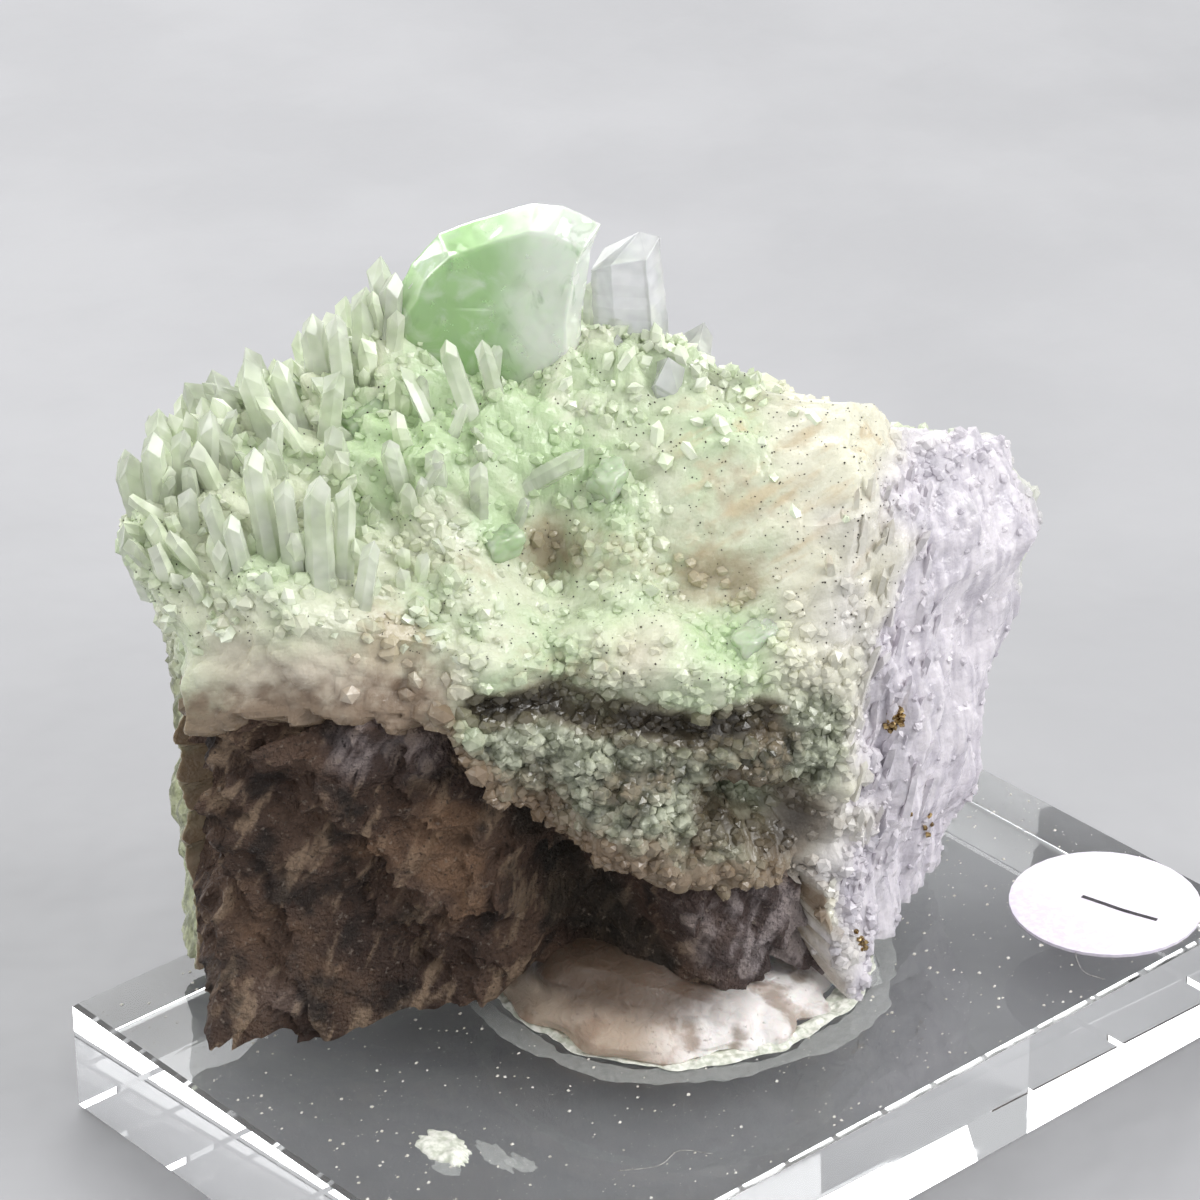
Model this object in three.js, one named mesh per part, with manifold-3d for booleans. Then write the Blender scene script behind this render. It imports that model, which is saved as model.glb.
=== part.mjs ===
// Augelite cluster: a broken block of brown rock under a crust of pale green augelite and clear quartz.
// It is held by white putty on a clear acrylic slab that carries a small round number label.
// Millimetres, +Z up. The origin is the centre of the slab's underside, the slab's long side is along X.
import * as THREE from 'three';
import Module from 'manifold-3d';
import { mergeVertices } from 'three/addons/utils/BufferGeometryUtils.js';

const wasm = await Module();
wasm.setup();

// Driving dimensions
const SLAB_LENGTH = 76.2;
const SLAB_WIDTH = 50.8;
const SLAB_HEIGHT = 9.5;
const SLAB_EDGE = 0.3;
const LABEL_RADIUS = 7.5;
const LABEL_THICKNESS = 0.25;
const LABEL_PLACE = [30, -17];
const PUTTY_RADIUS = 13.8;
const PUTTY_LEFT_BULGE = 1.6;
const PUTTY_TOP = 15.6;
// The putty is highest under the arch of the stone, in this direction, and lowest under its right foot.
const PUTTY_ARCH = 3.3;
const PUTTY_LOW_SHARE = 0.3;
const GAP = 0.3;
const SEAT_GAP = 0.02;
// The specimen has a frame of its own: X along its front, Y from front to back. This turns it on the slab.
const SPECIMEN_TURN = THREE.MathUtils.degToRad(-41.79);
const HEART = [-6, 5, 33];
const ROCK_STEP = 3.8;
const CONTACT_STEP = 6.5;

// The stone's outline at seven heights, [x, y, z] at fourteen corners. They go round anticlockwise:
// front left, two on the left lobe, valley, two on the right lobe, front right edge, three on the right
// face, two at the back, back left, left face.
const FOOT = [
  [-33, -16.5, 11.5], [-24, -13.8, 11.8], [-15, -11.8, 11.8], [-7.5, -6.8, 14.3], [-2, -8.4, 14.6],
  [3, -9.8, 12], [12.4, -5, 12], [17, 0.8, 12], [21.4, 10.5, 12], [20, 18, 13],
  [8, 20, 13], [-9, 21, 14], [-26, 15, 13], [-37, 1, 13],
];
const LOW = [
  [-35.2, -14.8, 21], [-25, -14.2, 22], [-15, -12.8, 23], [-9, -9, 23], [-3, -11, 23],
  [4.5, -10, 20], [12.5, -6, 21], [17.5, 0, 21], [23, 9.5, 21], [23.6, 17, 21],
  [9, 22.5, 21], [-9, 23.5, 21], [-28, 17, 21], [-37.2, 3, 22],
];
const WAIST = [
  [-34.8, -14, 34], [-25, -14.2, 34], [-16, -13.6, 33], [-9.5, -11.8, 32.5], [-3, -11.6, 32],
  [5, -10.4, 31], [12.3, -6.6, 31], [18, -0.5, 31], [24.9, 9, 31], [25.2, 17, 31],
  [10, 24, 31], [-9, 25, 31], [-29, 18.5, 31], [-36.6, 3, 37],
];
const RIM = [
  [-33.8, -13, 44.5], [-26, -13.5, 46], [-17.6, -13, 44], [-9, -11.5, 41], [-3, -11.5, 40.5],
  [5, -10, 39.5], [12.2, -6.8, 41], [18.5, -0.5, 41], [26, 8.5, 41], [27.3, 16, 38],
  [12, 23.5, 40], [-9, 25, 43], [-30, 18.5, 42], [-38.4, 0, 44],
];
const SLOPE = [
  [-36.5, -9, 49.5], [-28, -5, 50.5], [-19, -4, 49.5], [-9.8, -4, 47.6], [-2.5, -2, 48.3],
  [5.5, -3, 48], [12.2, -4.5, 49.3], [18.5, 2.5, 49.3], [23.6, 10, 48.6], [25, 14.5, 46],
  [12.5, 18.5, 45], [-8, 20.5, 50.5], [-28, 15.5, 48.5], [-40.2, -2, 48.5],
];
const RIDGE = [
  [-35, -0.5, 50], [-27, 2.5, 53.4], [-20, 5.5, 56], [-11, 8, 57.6], [-3, 6.5, 56],
  [5, 4.5, 54.8], [11.5, 3, 54.6], [14, 6, 51.8], [14.5, 9, 50], [14, 11, 49.2],
  [7, 11.5, 51.5], [-8, 14, 56.5], [-24, 11.8, 53.8], [-35, 3, 49],
];
const BELLY = [-6, 5, 15.5];
const SUMMIT = [-10, 11, 58.2];
const BELLY_REACH = 0.6;
const BELLY_HEIGHT = 15.2;

// Lumps stand out from the stone and pits sink into it: [x, y, z, radius, height].
const LUMPS = [
  [-9.6, -5, 47.6, 3.6, -3.6], [1.6, -5, 45.5, 4.2, -2.4], [5.4, -6.5, 44, 2.6, -2.2],
  [-20.3, -12.5, 43.5, 2.8, -2.2], [-21.5, -13.5, 42.5, 1.4, 1.2], [-18.8, -13, 41.5, 1.3, 1.1],
  [-5, -10, 43.2, 1.5, 1.6], [8.3, -9, 28.5, 3.2, -3], [-9, -12.5, 39.5, 2.4, -2],
  [-4, -12.5, 38.6, 2.4, -1.8], [0, -12, 38, 2.2, -1.2], [-5.5, -12, 29, 4, 1.2],
  [1, -11.5, 26, 3.5, 1.1], [13, -5.5, 17, 1.9, -1.4], [9, -1.5, 53.5, 4, 1], [1, 1, 52.8, 4, 0.7],
  [-33, -14.5, 28, 5, -0.8], [-27, -14.5, 17, 5, 0.9], [-20, -14, 26, 4, -0.9], [-30, -15, 36, 4, 0.8],
  [-12.5, -12, 26, 3.5, -1], [24, 6, 36, 5, -0.7], [22, 4, 26, 5, 0.8], [25.5, 12, 44, 4, 0.8],
  [-38.5, -4, 46, 4, 0.9], [-24, 21, 34, 8, 1.6], [2, 25, 30, 8, -1.8], [18, 21, 24, 6, 1.4],
  [-14, 24, 20, 7, -1.6], [-34, 11, 30, 7, -1.3], [-22, 17, 50, 6, 1.4], [4, 18, 49, 5, -1.4],
  [-8, -9, 24, 3.5, -2.2], [-4.5, -9.5, 19.5, 3.2, -2.2], [-10, -9.5, 20, 3.5, -1.6], [-1.5, -9, 16, 2.4, -1.4],
  [-5.5, -11.8, 27.3, 2.2, 1.2], [-1.2, -11.5, 23.4, 2.2, 1.2], [1.2, -10.5, 19.5, 2, 1],
  [2.4, -10, 15.5, 2, 0.8],
];
// Waves give the broken faces their unevenness: [x, y and z turns per mm, shift, height].
const WAVES = [
  [0.42, 0.31, -0.22, 0.4, 0.32], [-0.27, 0.45, 0.38, 2.1, 0.3], [0.61, -0.24, 0.52, 4.4, 0.24],
  [-0.5, -0.66, 0.3, 1.3, 0.2], [0.25, 0.8, -0.7, 5.2, 0.16], [0.95, 0.3, 0.62, 3.3, 0.13],
];

// Height of the contact between rock and crust, [corner of the outline, height]. The crust reaches
// to the foot on the right and left faces.
const CONTACT = [
  [0, 37.5], [1, 38.5], [2, 37], [2.4, 31], [3, 27.5], [4, 24.5], [5, 21.5], [5.75, 20.5], [6.05, 6],
  [8.4, 6], [9, 18], [10, 31], [11, 35], [12, 30], [12.8, 6], [13.75, 6], [14, 37.5],
];
const CRUST_EDGE = 2.6;
const CRUST_DEEPEST = 8;
const CRUST_GROWTH = 0.22;

const MATERIALS = {
  acrylic: { color: 0xe4ecec, roughness: 0.05, metalness: 0 },
  putty: { color: 0xe9e2da, roughness: 0.7, metalness: 0 },
  label: { color: 0xe9e4ee, roughness: 0.6, metalness: 0 },
  rock: { color: 0x6a5444, roughness: 0.85, metalness: 0 },
  crust: { color: 0xd5dcc4, roughness: 0.5, metalness: 0 },
  augelite: { color: 0xa8cf98, roughness: 0.2, metalness: 0 },
  quartz: { color: 0xe2e6dc, roughness: 0.1, metalness: 0 },
};

// Vectors
const plus = (a, b, k = 1) => [a[0] + b[0] * k, a[1] + b[1] * k, a[2] + b[2] * k];
const mix = (a, b, t) => plus(a, plus(b, a, -1), t);
const length = (a) => Math.hypot(a[0], a[1], a[2]);

// Solids
function solidFromTriangles(points, faces) {
  const geometry = new THREE.BufferGeometry();
  geometry.setAttribute('position', new THREE.Float32BufferAttribute(points.flat(), 3));
  geometry.setIndex(faces.flat());
  return solidFromGeometry(geometry);
}

function solidFromGeometry(geometry) {
  const bare = geometry.clone();
  bare.deleteAttribute('normal');
  bare.deleteAttribute('uv');
  const merged = mergeVertices(bare, 1e-4);
  const mesh = new wasm.Mesh({
    numProp: 3,
    vertProperties: new Float32Array(merged.attributes.position.array),
    triVerts: new Uint32Array(merged.index.array),
  });
  return new wasm.Manifold(mesh);
}

function geometryFromSolid(solid) {
  const mesh = solid.getMesh();
  const geometry = new THREE.BufferGeometry();
  geometry.setAttribute('position', new THREE.Float32BufferAttribute(mesh.vertProperties, 3));
  geometry.setIndex(new THREE.Uint32BufferAttribute(mesh.triVerts, 1));
  return geometry;
}

// The stone: rings of corners are joined by straight facets, then lumps and waves are added.
const bellyRing = FOOT.map((p) => [...mix(BELLY, p, BELLY_REACH).slice(0, 2), BELLY_HEIGHT]);
const RINGS = [bellyRing, FOOT, LOW, WAIST, RIM, SLOPE, RIDGE];

function averageStep(a, b) {
  return a.reduce((sum, p, i) => sum + length(plus(p, b[i], -1)), 0) / a.length;
}

function columnOf(ring, column) {
  const i = Math.floor(column) % ring.length;
  return mix(ring[i], ring[(i + 1) % ring.length], column - Math.floor(column));
}

function relief(p) {
  let height = 0;
  for (const [x, y, z, radius, rise] of LUMPS) {
    const far = length(plus(p, [x, y, z], -1)) / radius;
    height += rise * Math.exp(-far * far);
  }
  for (const [x, y, z, shift, rise] of WAVES) {
    height += rise * Math.sin(p[0] * x + p[1] * y + p[2] * z + shift);
  }
  return height;
}

function outwards(p, rise) {
  const away = plus(p, HEART, -1);
  return plus(p, away, rise / length(away));
}

function contactHeight(column) {
  const next = CONTACT.findIndex(([place]) => place > column);
  const [place, height] = CONTACT[next - 1];
  const [nextPlace, nextHeight] = CONTACT[next];
  return height + (nextHeight - height) * (column - place) / (nextPlace - place);
}

// How far the contact lies under the stone's skin. It is negative where the rock shows.
function crustDepth(p, column) {
  const above = p[2] - contactHeight(column);
  const deep = Math.min(CRUST_EDGE + CRUST_GROWTH * above, CRUST_DEEPEST);
  return Math.max(-1.8, Math.min(above * 1.6, deep));
}

// A closed skin round the heart: rows of points from belly to summit, each moved by the rise that is given.
function stoneSkin(step, riseAt) {
  const columns = [];
  FOOT.forEach((corner, i) => {
    const next = (i + 1) % FOOT.length;
    const far = averageStep(RINGS.map((ring) => ring[i]), RINGS.map((ring) => ring[next]));
    const parts = Math.max(1, Math.round(far / step));
    for (let k = 0; k < parts; k += 1) {
      columns.push(i + k / parts);
    }
  });
  const rows = [];
  RINGS.forEach((ring, j) => {
    const next = RINGS[j + 1] ?? ring;
    const parts = Math.max(1, Math.round(averageStep(ring, next) / step));
    for (let k = 0; k < parts; k += 1) {
      rows.push(columns.map((c) => mix(columnOf(ring, c), columnOf(next, c), k / parts)));
    }
  });
  rows.push(rows[rows.length - 1].map((p) => mix(p, SUMMIT, 0.5)));
  const moved = (p, c) => outwards(p, riseAt(p, c));
  const points = [moved(BELLY, 0)];
  rows.forEach((row) => row.forEach((p, i) => points.push(moved(p, columns[i]))));
  points.push(moved(SUMMIT, 0));
  const n = columns.length;
  const last = points.length - 1;
  const faces = [];
  for (let i = 0; i < n; i += 1) {
    const next = (i + 1) % n;
    faces.push([0, 1 + next, 1 + i]);
    for (let j = 0; j + 1 < rows.length; j += 1) {
      const low = 1 + j * n;
      const high = low + n;
      faces.push([low + i, low + next, high + next], [low + i, high + next, high + i]);
    }
    faces.push([last, last - n + i, last - n + next]);
  }
  return solidFromTriangles(points, faces);
}

// A crystal: a six-sided prism from root to tip with a pyramid end. Width is across the flats in mm,
// thin flattens it, turn rotates it on its axis, slant pushes the point to one side.
function crystal({ root, tip, width, thin = 1, turn = 0, end = 0.9, slant = 0, waist = 1, sides = 6 }) {
  const axis = new THREE.Vector3(...plus(tip, root, -1));
  const tall = axis.length();
  axis.normalize();
  const helper = Math.abs(axis.z) < 0.9 ? new THREE.Vector3(0, 0, 1) : new THREE.Vector3(0, 1, 0);
  const right = new THREE.Vector3().crossVectors(helper, axis).normalize();
  const front = new THREE.Vector3().crossVectors(axis, right);
  const radius = width / 2;
  const shoulder = tall - Math.min(tall * 0.6, width * end);
  const points = [];
  for (const [height, scale] of [[0, waist], [shoulder, 1]]) {
    for (let i = 0; i < sides; i += 1) {
      const angle = turn + (i / sides) * 2 * Math.PI;
      const x = Math.cos(angle) * radius * scale;
      const y = Math.sin(angle) * radius * scale * thin;
      const tilt = height > 0 ? slant * x : 0;
      const across = right.clone().multiplyScalar(x).addScaledVector(front, y);
      points.push(across.addScaledVector(axis, height + tilt));
    }
  }
  points.push(right.clone().multiplyScalar(slant * radius * 0.5).addScaledVector(axis, tall));
  const placed = points.map((p) => plus(root, p.toArray()));
  const faces = [];
  for (let i = 0; i < sides; i += 1) {
    const next = (i + 1) % sides;
    faces.push([i, next, sides + next], [i, sides + next, sides + i], [sides + i, sides + next, 2 * sides]);
    if (i > 0 && i + 1 < sides) {
      faces.push([0, i + 1, i]);
    }
  }
  return solidFromTriangles(placed, faces);
}

const joined = (solids) => wasm.Manifold.union(solids);

// Quartz crystals that stand out by themselves: root, tip, width, then the other settings of a crystal.
const quartz = (root, tip, width, more = {}) => ({ root, tip, width, ...more });

const SPIRE = [
  quartz([-3, 9.4, 53], [-3.9, 9.4, 65.6], 6, { thin: 0.7, turn: 0.1, end: 0.25, slant: 0.3, waist: 1.08 }),
  quartz([-4.7, 7.4, 52], [-4.6, 7.1, 58.8], 1.8, { turn: 0.2 }),
  quartz([1, 9.8, 53], [1.8, 9.6, 58.4], 2.8, { turn: 0.5 }),
  quartz([-0.4, 6, 52], [-1.2, 5, 58], 3.6, { turn: 0.1, end: 0.8 }),
];

const FRONT_SPRAY = [
  quartz([-28.2, -10.5, 45], [-30, -9.8, 58], 2, { turn: 0.2 }),
  quartz([-26.8, -11.2, 44.5], [-27.8, -11, 56.2], 1.9, { turn: 0.6 }),
  quartz([-25.2, -11.4, 44.5], [-25.4, -11.3, 56.6], 2.3, { turn: 0.1, thin: 0.8 }),
  quartz([-24, -10.4, 45], [-23.4, -9.6, 55], 1.8, { turn: 0.9 }),
  quartz([-29.6, -11.4, 44], [-31.6, -11.8, 53.8], 1.7, { turn: 0.3 }),
  quartz([-30.6, -10.2, 45], [-33.2, -10.2, 54.6], 1.8, { turn: 0.8 }),
  quartz([-22.8, -11.4, 43.5], [-21.6, -11.6, 51.6], 1.7, { turn: 0.4 }),
  quartz([-28.4, -12.6, 42.5], [-29.2, -13.8, 50.4], 1.7, { turn: 0.7 }),
];

const LEFT_SPRAY = [
  quartz([-36.4, -6.5, 46], [-37.2, -7.4, 58], 2, { turn: 0.2 }),
  quartz([-35.2, -5.5, 47], [-35.2, -6, 57.6], 1.8, { turn: 0.5 }),
  quartz([-34, -4.5, 48], [-33.2, -4.8, 58.4], 1.9, { turn: 0.9 }),
  quartz([-37.6, -5.5, 46], [-39.2, -6, 55.6], 2.1, { turn: 0.4 }),
  quartz([-37.8, -3, 46.5], [-39.9, -2.6, 54.2], 2.4, { turn: 0.1 }),
  quartz([-36, -2, 48], [-37.6, -0.4, 56.4], 2.3, { turn: 0.7 }),
  quartz([-38, -7.5, 45], [-40.6, -8.6, 51.6], 2.2, { turn: 0.3 }),
  quartz([-34.4, -8.4, 46], [-34.6, -9.6, 54.8], 1.8, { turn: 0.6 }),
];

const CREST_SPRAY = [
  quartz([-27.8, -1.5, 50.5], [-31.2, 0.2, 60], 2.4, { turn: 0.4, thin: 0.7 }),
  quartz([-26.2, -1, 51], [-29, 1, 59.6], 2, { turn: 0.1 }),
  quartz([-30.4, 0.5, 50], [-33.6, 1.2, 58.6], 2.6, { turn: 0.8 }),
  quartz([-31.6, 1.6, 49.5], [-35.4, 2.4, 57.4], 2.6, { turn: 0.3 }),
  quartz([-28.8, 3.4, 52], [-31.4, 5.4, 58.6], 2.4, { turn: 0.6 }),
  quartz([-25, 3, 53], [-26.6, 3.8, 62], 2.2, { turn: 0.2 }),
  quartz([-23.8, 2, 53], [-24.6, 2.6, 62.4], 2, { turn: 0.7 }),
  quartz([-22.6, 4, 54], [-22.8, 5.4, 63.4], 2.1, { turn: 0.5 }),
  quartz([-21.2, 5, 55], [-20.6, 6, 64.2], 2, { turn: 0.1 }),
  quartz([-20, 6, 55], [-21.8, 7.4, 64.8], 2.2, { turn: 0.9 }),
  quartz([-18.8, 6.4, 55], [-18.9, 7, 64], 1.8, { turn: 0.3 }),
  quartz([-25.6, 0, 51], [-24.4, -1.6, 60], 2, { turn: 0.6 }),
  quartz([-23.4, -2.4, 50], [-24.8, -4.6, 57], 1.9, { turn: 0.2 }),
  quartz([-27.4, -4, 49], [-29.4, -5.4, 56.6], 1.9, { turn: 0.5 }),
  quartz([-30.6, -3.6, 48.5], [-33.2, -3.4, 56.8], 2.2, { turn: 0.8 }),
];

const MIDDLE_BLADES = [
  quartz([-13.6, 0.4, 51], [-16.8, 1.4, 61], 1.7, { turn: 0.4, thin: 0.6 }),
  quartz([-15.4, -1.4, 50], [-19.8, 0.8, 59.4], 1.8, { turn: 0.2, thin: 0.6 }),
  quartz([-12.2, 1.8, 52], [-14.2, 3, 60.2], 1.6, { turn: 0.8 }),
  quartz([-16.8, -3, 49], [-17.6, -4.4, 55.2], 1.8, { turn: 0.3 }),
  quartz([-14.4, -3.4, 48.4], [-14.2, -5, 54.4], 1.7, { turn: 0.7 }),
  quartz([-19.2, -3.4, 49], [-20.8, -4.8, 56.2], 1.8, { turn: 0.1 }),
  quartz([-11.2, -0.4, 50], [-6.6, -1.4, 53.4], 1.8, { turn: 0.5 }),
];

// The big augelite crystal: a thick tablet with bevelled top edges, seen broad side on.
const AUGELITE_FRONT = [
  [-21.2, 60.4], [-19.4, 64.2], [-17.3, 66.6], [-14.7, 67.6], [-10.3, 69], [-8.1, 68.8],
  [-5.4, 67.5], [-6.2, 65.4], [-6.9, 61.2], [-7.2, 54], [-20.6, 53.5],
];
const AUGELITE_MIDDLE = [-12.6, 61.4];
const AUGELITE_DEPTHS = [[5.4, 0.82], [7.4, 1], [9.4, 0.87], [11.8, 0.66]];
// Smaller augelite crystals that stand out of the crust, [centre, size, turn].
const SMALL_AUGELITES = [
  [[-22.6, 1.4, 54.6], [4.2, 3, 4.4], 0.5], [[-17, -0.6, 52.4], [4.6, 3.4, 4.2], 0.2],
  [[-28.6, 6.4, 52.6], [3.8, 3.2, 3.8], 0.9], [[-12.6, -4.4, 48.6], [3.6, 2.6, 2.4], 0.3],
  [[-5, -0.6, 51.4], [3.2, 2.4, 3], 0.6], [[5.6, -7, 41.4], [4.2, 2.6, 3.4], 0.4],
];

function augeliteTablet(grown = 0) {
  const n = AUGELITE_FRONT.length;
  const [middleX, middleZ] = AUGELITE_MIDDLE;
  const points = [];
  for (const [depth, scale] of AUGELITE_DEPTHS) {
    for (const [x, z] of AUGELITE_FRONT) {
      const reach = scale + grown / Math.hypot(x - middleX, z - middleZ);
      const side = depth < AUGELITE_DEPTHS[2][0] ? -grown : grown;
      points.push([middleX + (x - middleX) * reach, depth + side, middleZ + (z - middleZ) * reach]);
    }
  }
  const faces = [];
  const lastRing = (AUGELITE_DEPTHS.length - 1) * n;
  points.push([middleX, AUGELITE_DEPTHS[0][0] - 0.4 - grown, middleZ]);
  points.push([middleX, AUGELITE_DEPTHS[AUGELITE_DEPTHS.length - 1][0] + grown, middleZ]);
  for (let i = 0; i < n; i += 1) {
    const next = (i + 1) % n;
    faces.push([points.length - 2, next, i], [points.length - 1, lastRing + i, lastRing + next]);
    for (let ring = 0; ring < lastRing; ring += n) {
      faces.push([ring + i, ring + n + next, ring + n + i], [ring + i, ring + next, ring + n + next]);
    }
  }
  return solidFromTriangles(points, faces);
}

function augeliteBlock([centre, size, turn]) {
  const place = new THREE.Matrix4().compose(
    new THREE.Vector3(...centre),
    new THREE.Quaternion().setFromEuler(new THREE.Euler(turn * 0.35, -turn * 0.5, turn * 1.6)),
    new THREE.Vector3(...size),
  );
  const block = new THREE.BoxGeometry(1, 1, 1).applyMatrix4(place);
  const bevels = new THREE.OctahedronGeometry(1.17, 0).applyMatrix4(place);
  return solidFromGeometry(block).intersect(solidFromGeometry(bevels));
}

// Small points of the druse, by rule: they stand on the skin at even steps over a patch, where no
// larger crystal stands.
const DRUSE_PATCHES = [
  { columns: [0.1, 2.6], levels: [4.15, 4.95], count: 16, tall: 2.4, width: 2.8, lean: [-0.3, -0.1, 1] },
  { columns: [11.2, 13.9], levels: [4.1, 5.6], count: 20, tall: 2.8, width: 3.2, lean: [-0.4, 0.1, 1] },
  { columns: [2.2, 6], levels: [5.1, 5.9], count: 12, tall: 2, width: 2.8, lean: [-0.1, 0, 1] },
  { columns: [6.2, 10.8], levels: [3.6, 5.9], count: 26, tall: 0.8, width: 4, lean: [0.4, 0.2, 1], flat: true },
  { columns: [2.3, 5.8], levels: [2.3, 3.7], count: 14, tall: 0.8, width: 3, lean: [0, -0.7, 0.3], flat: true },
];
const GOLDEN = 0.618034;
const DRUSE_ROOT = 1.6;
const DRUSE_CLEARANCE = 3;

function placeOnStone(column, level) {
  const j = Math.floor(level);
  return mix(columnOf(RINGS[j], column), columnOf(RINGS[j + 1], column), level - j);
}

function nearStanding(p, standing) {
  return standing.some(({ root, tip }) => {
    const axis = plus(tip, root, -1);
    const along = plus(p, root, -1).reduce((sum, v, k) => sum + v * axis[k], 0) / length(axis) ** 2;
    return length(plus(p, mix(root, tip, Math.max(0, Math.min(1, along))), -1)) < DRUSE_CLEARANCE;
  });
}

function druse({ columns, levels, count, tall, width, lean, flat }, standing) {
  const solids = [];
  for (let i = 0; i < count; i += 1) {
    const column = columns[0] + ((i * GOLDEN) % 1) * (columns[1] - columns[0]);
    const level = levels[0] + ((i + 0.5) / count) * (levels[1] - levels[0]);
    const grain = 0.75 + 0.5 * ((i * 7) % 5) / 4;
    const p = placeOnStone(column, level);
    const skin = outwards(p, relief(p));
    if (nearStanding(skin, standing)) {
      continue;
    }
    const away = new THREE.Vector3(...plus(skin, HEART, -1)).normalize();
    const aim = away.addScaledVector(new THREE.Vector3(...lean), 0.8).normalize();
    const radius = (width * grain) / 2;
    const top = flat ? radius * 0.6 : 0;
    const cone = new THREE.CylinderGeometry(top, radius, tall * grain + DRUSE_ROOT, 4 + (i % 2));
    cone.rotateY(i).translate(0, (tall * grain - DRUSE_ROOT) / 2, 0);
    cone.applyQuaternion(new THREE.Quaternion().setFromUnitVectors(new THREE.Vector3(0, 1, 0), aim));
    solids.push(solidFromGeometry(cone.translate(...skin)));
  }
  return solids;
}

// The putty: a pressed lump with a slumped rim, wider to the left.
function puttyLump() {
  const around = 30;
  const profile = [[1, 0], [1.03, 0.5], [1.02, 1.4], [0.96, 2.6], [0.9, 4], [0.8, 5.2], [0.5, 6.1]];
  const heightShare = (angle) => {
    const near = (0.5 + 0.5 * Math.cos(angle - PUTTY_ARCH)) ** 3;
    return PUTTY_LOW_SHARE + (1 - PUTTY_LOW_SHARE) * near;
  };
  const points = [[0, 0, SLAB_HEIGHT + SEAT_GAP]];
  for (const [scale, rise] of profile) {
    for (let i = 0; i < around; i += 1) {
      const angle = (i / around) * 2 * Math.PI;
      const bulge = PUTTY_LEFT_BULGE * Math.max(0, -Math.cos(angle - 0.5)) ** 2;
      const crinkle = 0.45 * Math.sin(7 * angle + rise) + 0.25 * Math.sin(13 * angle - 2 * rise);
      const reach = (PUTTY_RADIUS + bulge + crinkle) * scale;
      const height = SLAB_HEIGHT + SEAT_GAP + rise * heightShare(angle);
      points.push([Math.cos(angle) * reach, Math.sin(angle) * reach, height]);
    }
  }
  points.push([0, 0, PUTTY_TOP + 0.4]);
  const last = points.length - 1;
  const faces = [];
  for (let i = 0; i < around; i += 1) {
    const next = (i + 1) % around;
    faces.push([0, 1 + next, 1 + i], [last, last - around + i, last - around + next]);
    for (let j = 0; j + 1 < profile.length; j += 1) {
      const low = 1 + j * around;
      const high = low + around;
      faces.push([low + i, low + next, high + next], [low + i, high + next, high + i]);
    }
  }
  return solidFromTriangles(points, faces);
}

function acrylicSlab() {
  const outline = new THREE.Shape();
  const x = SLAB_LENGTH / 2 - SLAB_EDGE;
  const y = SLAB_WIDTH / 2 - SLAB_EDGE;
  outline.moveTo(-x, -y).lineTo(x, -y).lineTo(x, y).lineTo(-x, y).closePath();
  const slab = new THREE.ExtrudeGeometry(outline, {
    depth: SLAB_HEIGHT - 2 * SLAB_EDGE,
    bevelEnabled: true,
    bevelThickness: SLAB_EDGE,
    bevelSize: SLAB_EDGE,
    bevelSegments: 1,
  });
  return slab.translate(0, 0, SLAB_EDGE);
}

function labelDisc() {
  return new THREE.CylinderGeometry(LABEL_RADIUS, LABEL_RADIUS, LABEL_THICKNESS, 36).rotateX(Math.PI / 2);
}

// Cutting the pieces apart, with a gap between neighbours
const stone = stoneSkin(ROCK_STEP, (p) => relief(p));
const grownStone = stoneSkin(ROCK_STEP, (p) => relief(p) + GAP);
const contact = stoneSkin(CONTACT_STEP, (p, c) => relief(p) - crustDepth(p, c));
const grownContact = stoneSkin(CONTACT_STEP, (p, c) => relief(p) - crustDepth(p, c) + GAP);

// A spray: its crystals, and the low lumps of quartz that they grow from.
function spray({ crystals, seats }, grown = 0) {
  const lumps = seats.map(([centre, size]) => {
    const lump = new THREE.IcosahedronGeometry(1, 0);
    lump.scale(...size.map((s) => s + grown)).rotateX(0.3);
    return solidFromGeometry(lump.translate(...centre));
  });
  return joined([...crystals.map((c) => crystal({ ...c, width: c.width + 2 * grown })), ...lumps]);
}

const SPRAYS = [
  { name: 'quartz_spire', crystals: SPIRE, seats: [[[-0.6, 8.6, 56], [5, 4.2, 3]]] },
  { name: 'quartz_spray_left', crystals: LEFT_SPRAY, seats: [[[-36.4, -5, 48.6], [4.2, 5.4, 4.2]]] },
  { name: 'quartz_spray_front', crystals: FRONT_SPRAY, seats: [[[-26.8, -10.4, 47.4], [6.6, 4.6, 4]]] },
  {
    name: 'quartz_blades',
    crystals: MIDDLE_BLADES,
    seats: [[[-14.4, -1.2, 51], [5.4, 4, 2.6]], [[-17.8, -3.2, 50.2], [4, 3, 2.6]]],
  },
  {
    name: 'quartz_spray_crest',
    crystals: CREST_SPRAY,
    seats: [
      [[-29, -0.4, 51.6], [5.6, 4.6, 3.4]],
      [[-24.6, 1, 53], [5, 5, 3.6]],
      [[-20.8, 5, 56], [4.4, 3.6, 3.4]],
    ],
  },
];
const standing = SPRAYS.flatMap(({ crystals }) => crystals);
const druseSolids = DRUSE_PATCHES.flatMap((patch) => druse(patch, standing));
const smallAugelites = SMALL_AUGELITES.map(augeliteBlock);
const grownSprays = joined([...SPRAYS.map((set) => spray(set, GAP)), augeliteTablet(GAP)]);
const hostRock = stone.intersect(contact);
const crystalCrust = joined([stone, ...druseSolids, ...smallAugelites])
  .subtract(grownContact)
  .subtract(grownSprays.subtract(stone));

const specimen = new THREE.Group();
specimen.rotation.z = SPECIMEN_TURN;
const cluster = new THREE.Group();
cluster.add(specimen);

function addPiece(group, name, geometry, material, position = [0, 0, 0]) {
  const mesh = new THREE.Mesh(geometry, new THREE.MeshStandardMaterial(MATERIALS[material]));
  mesh.name = name;
  mesh.position.set(...position);
  group.add(mesh);
}

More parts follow.
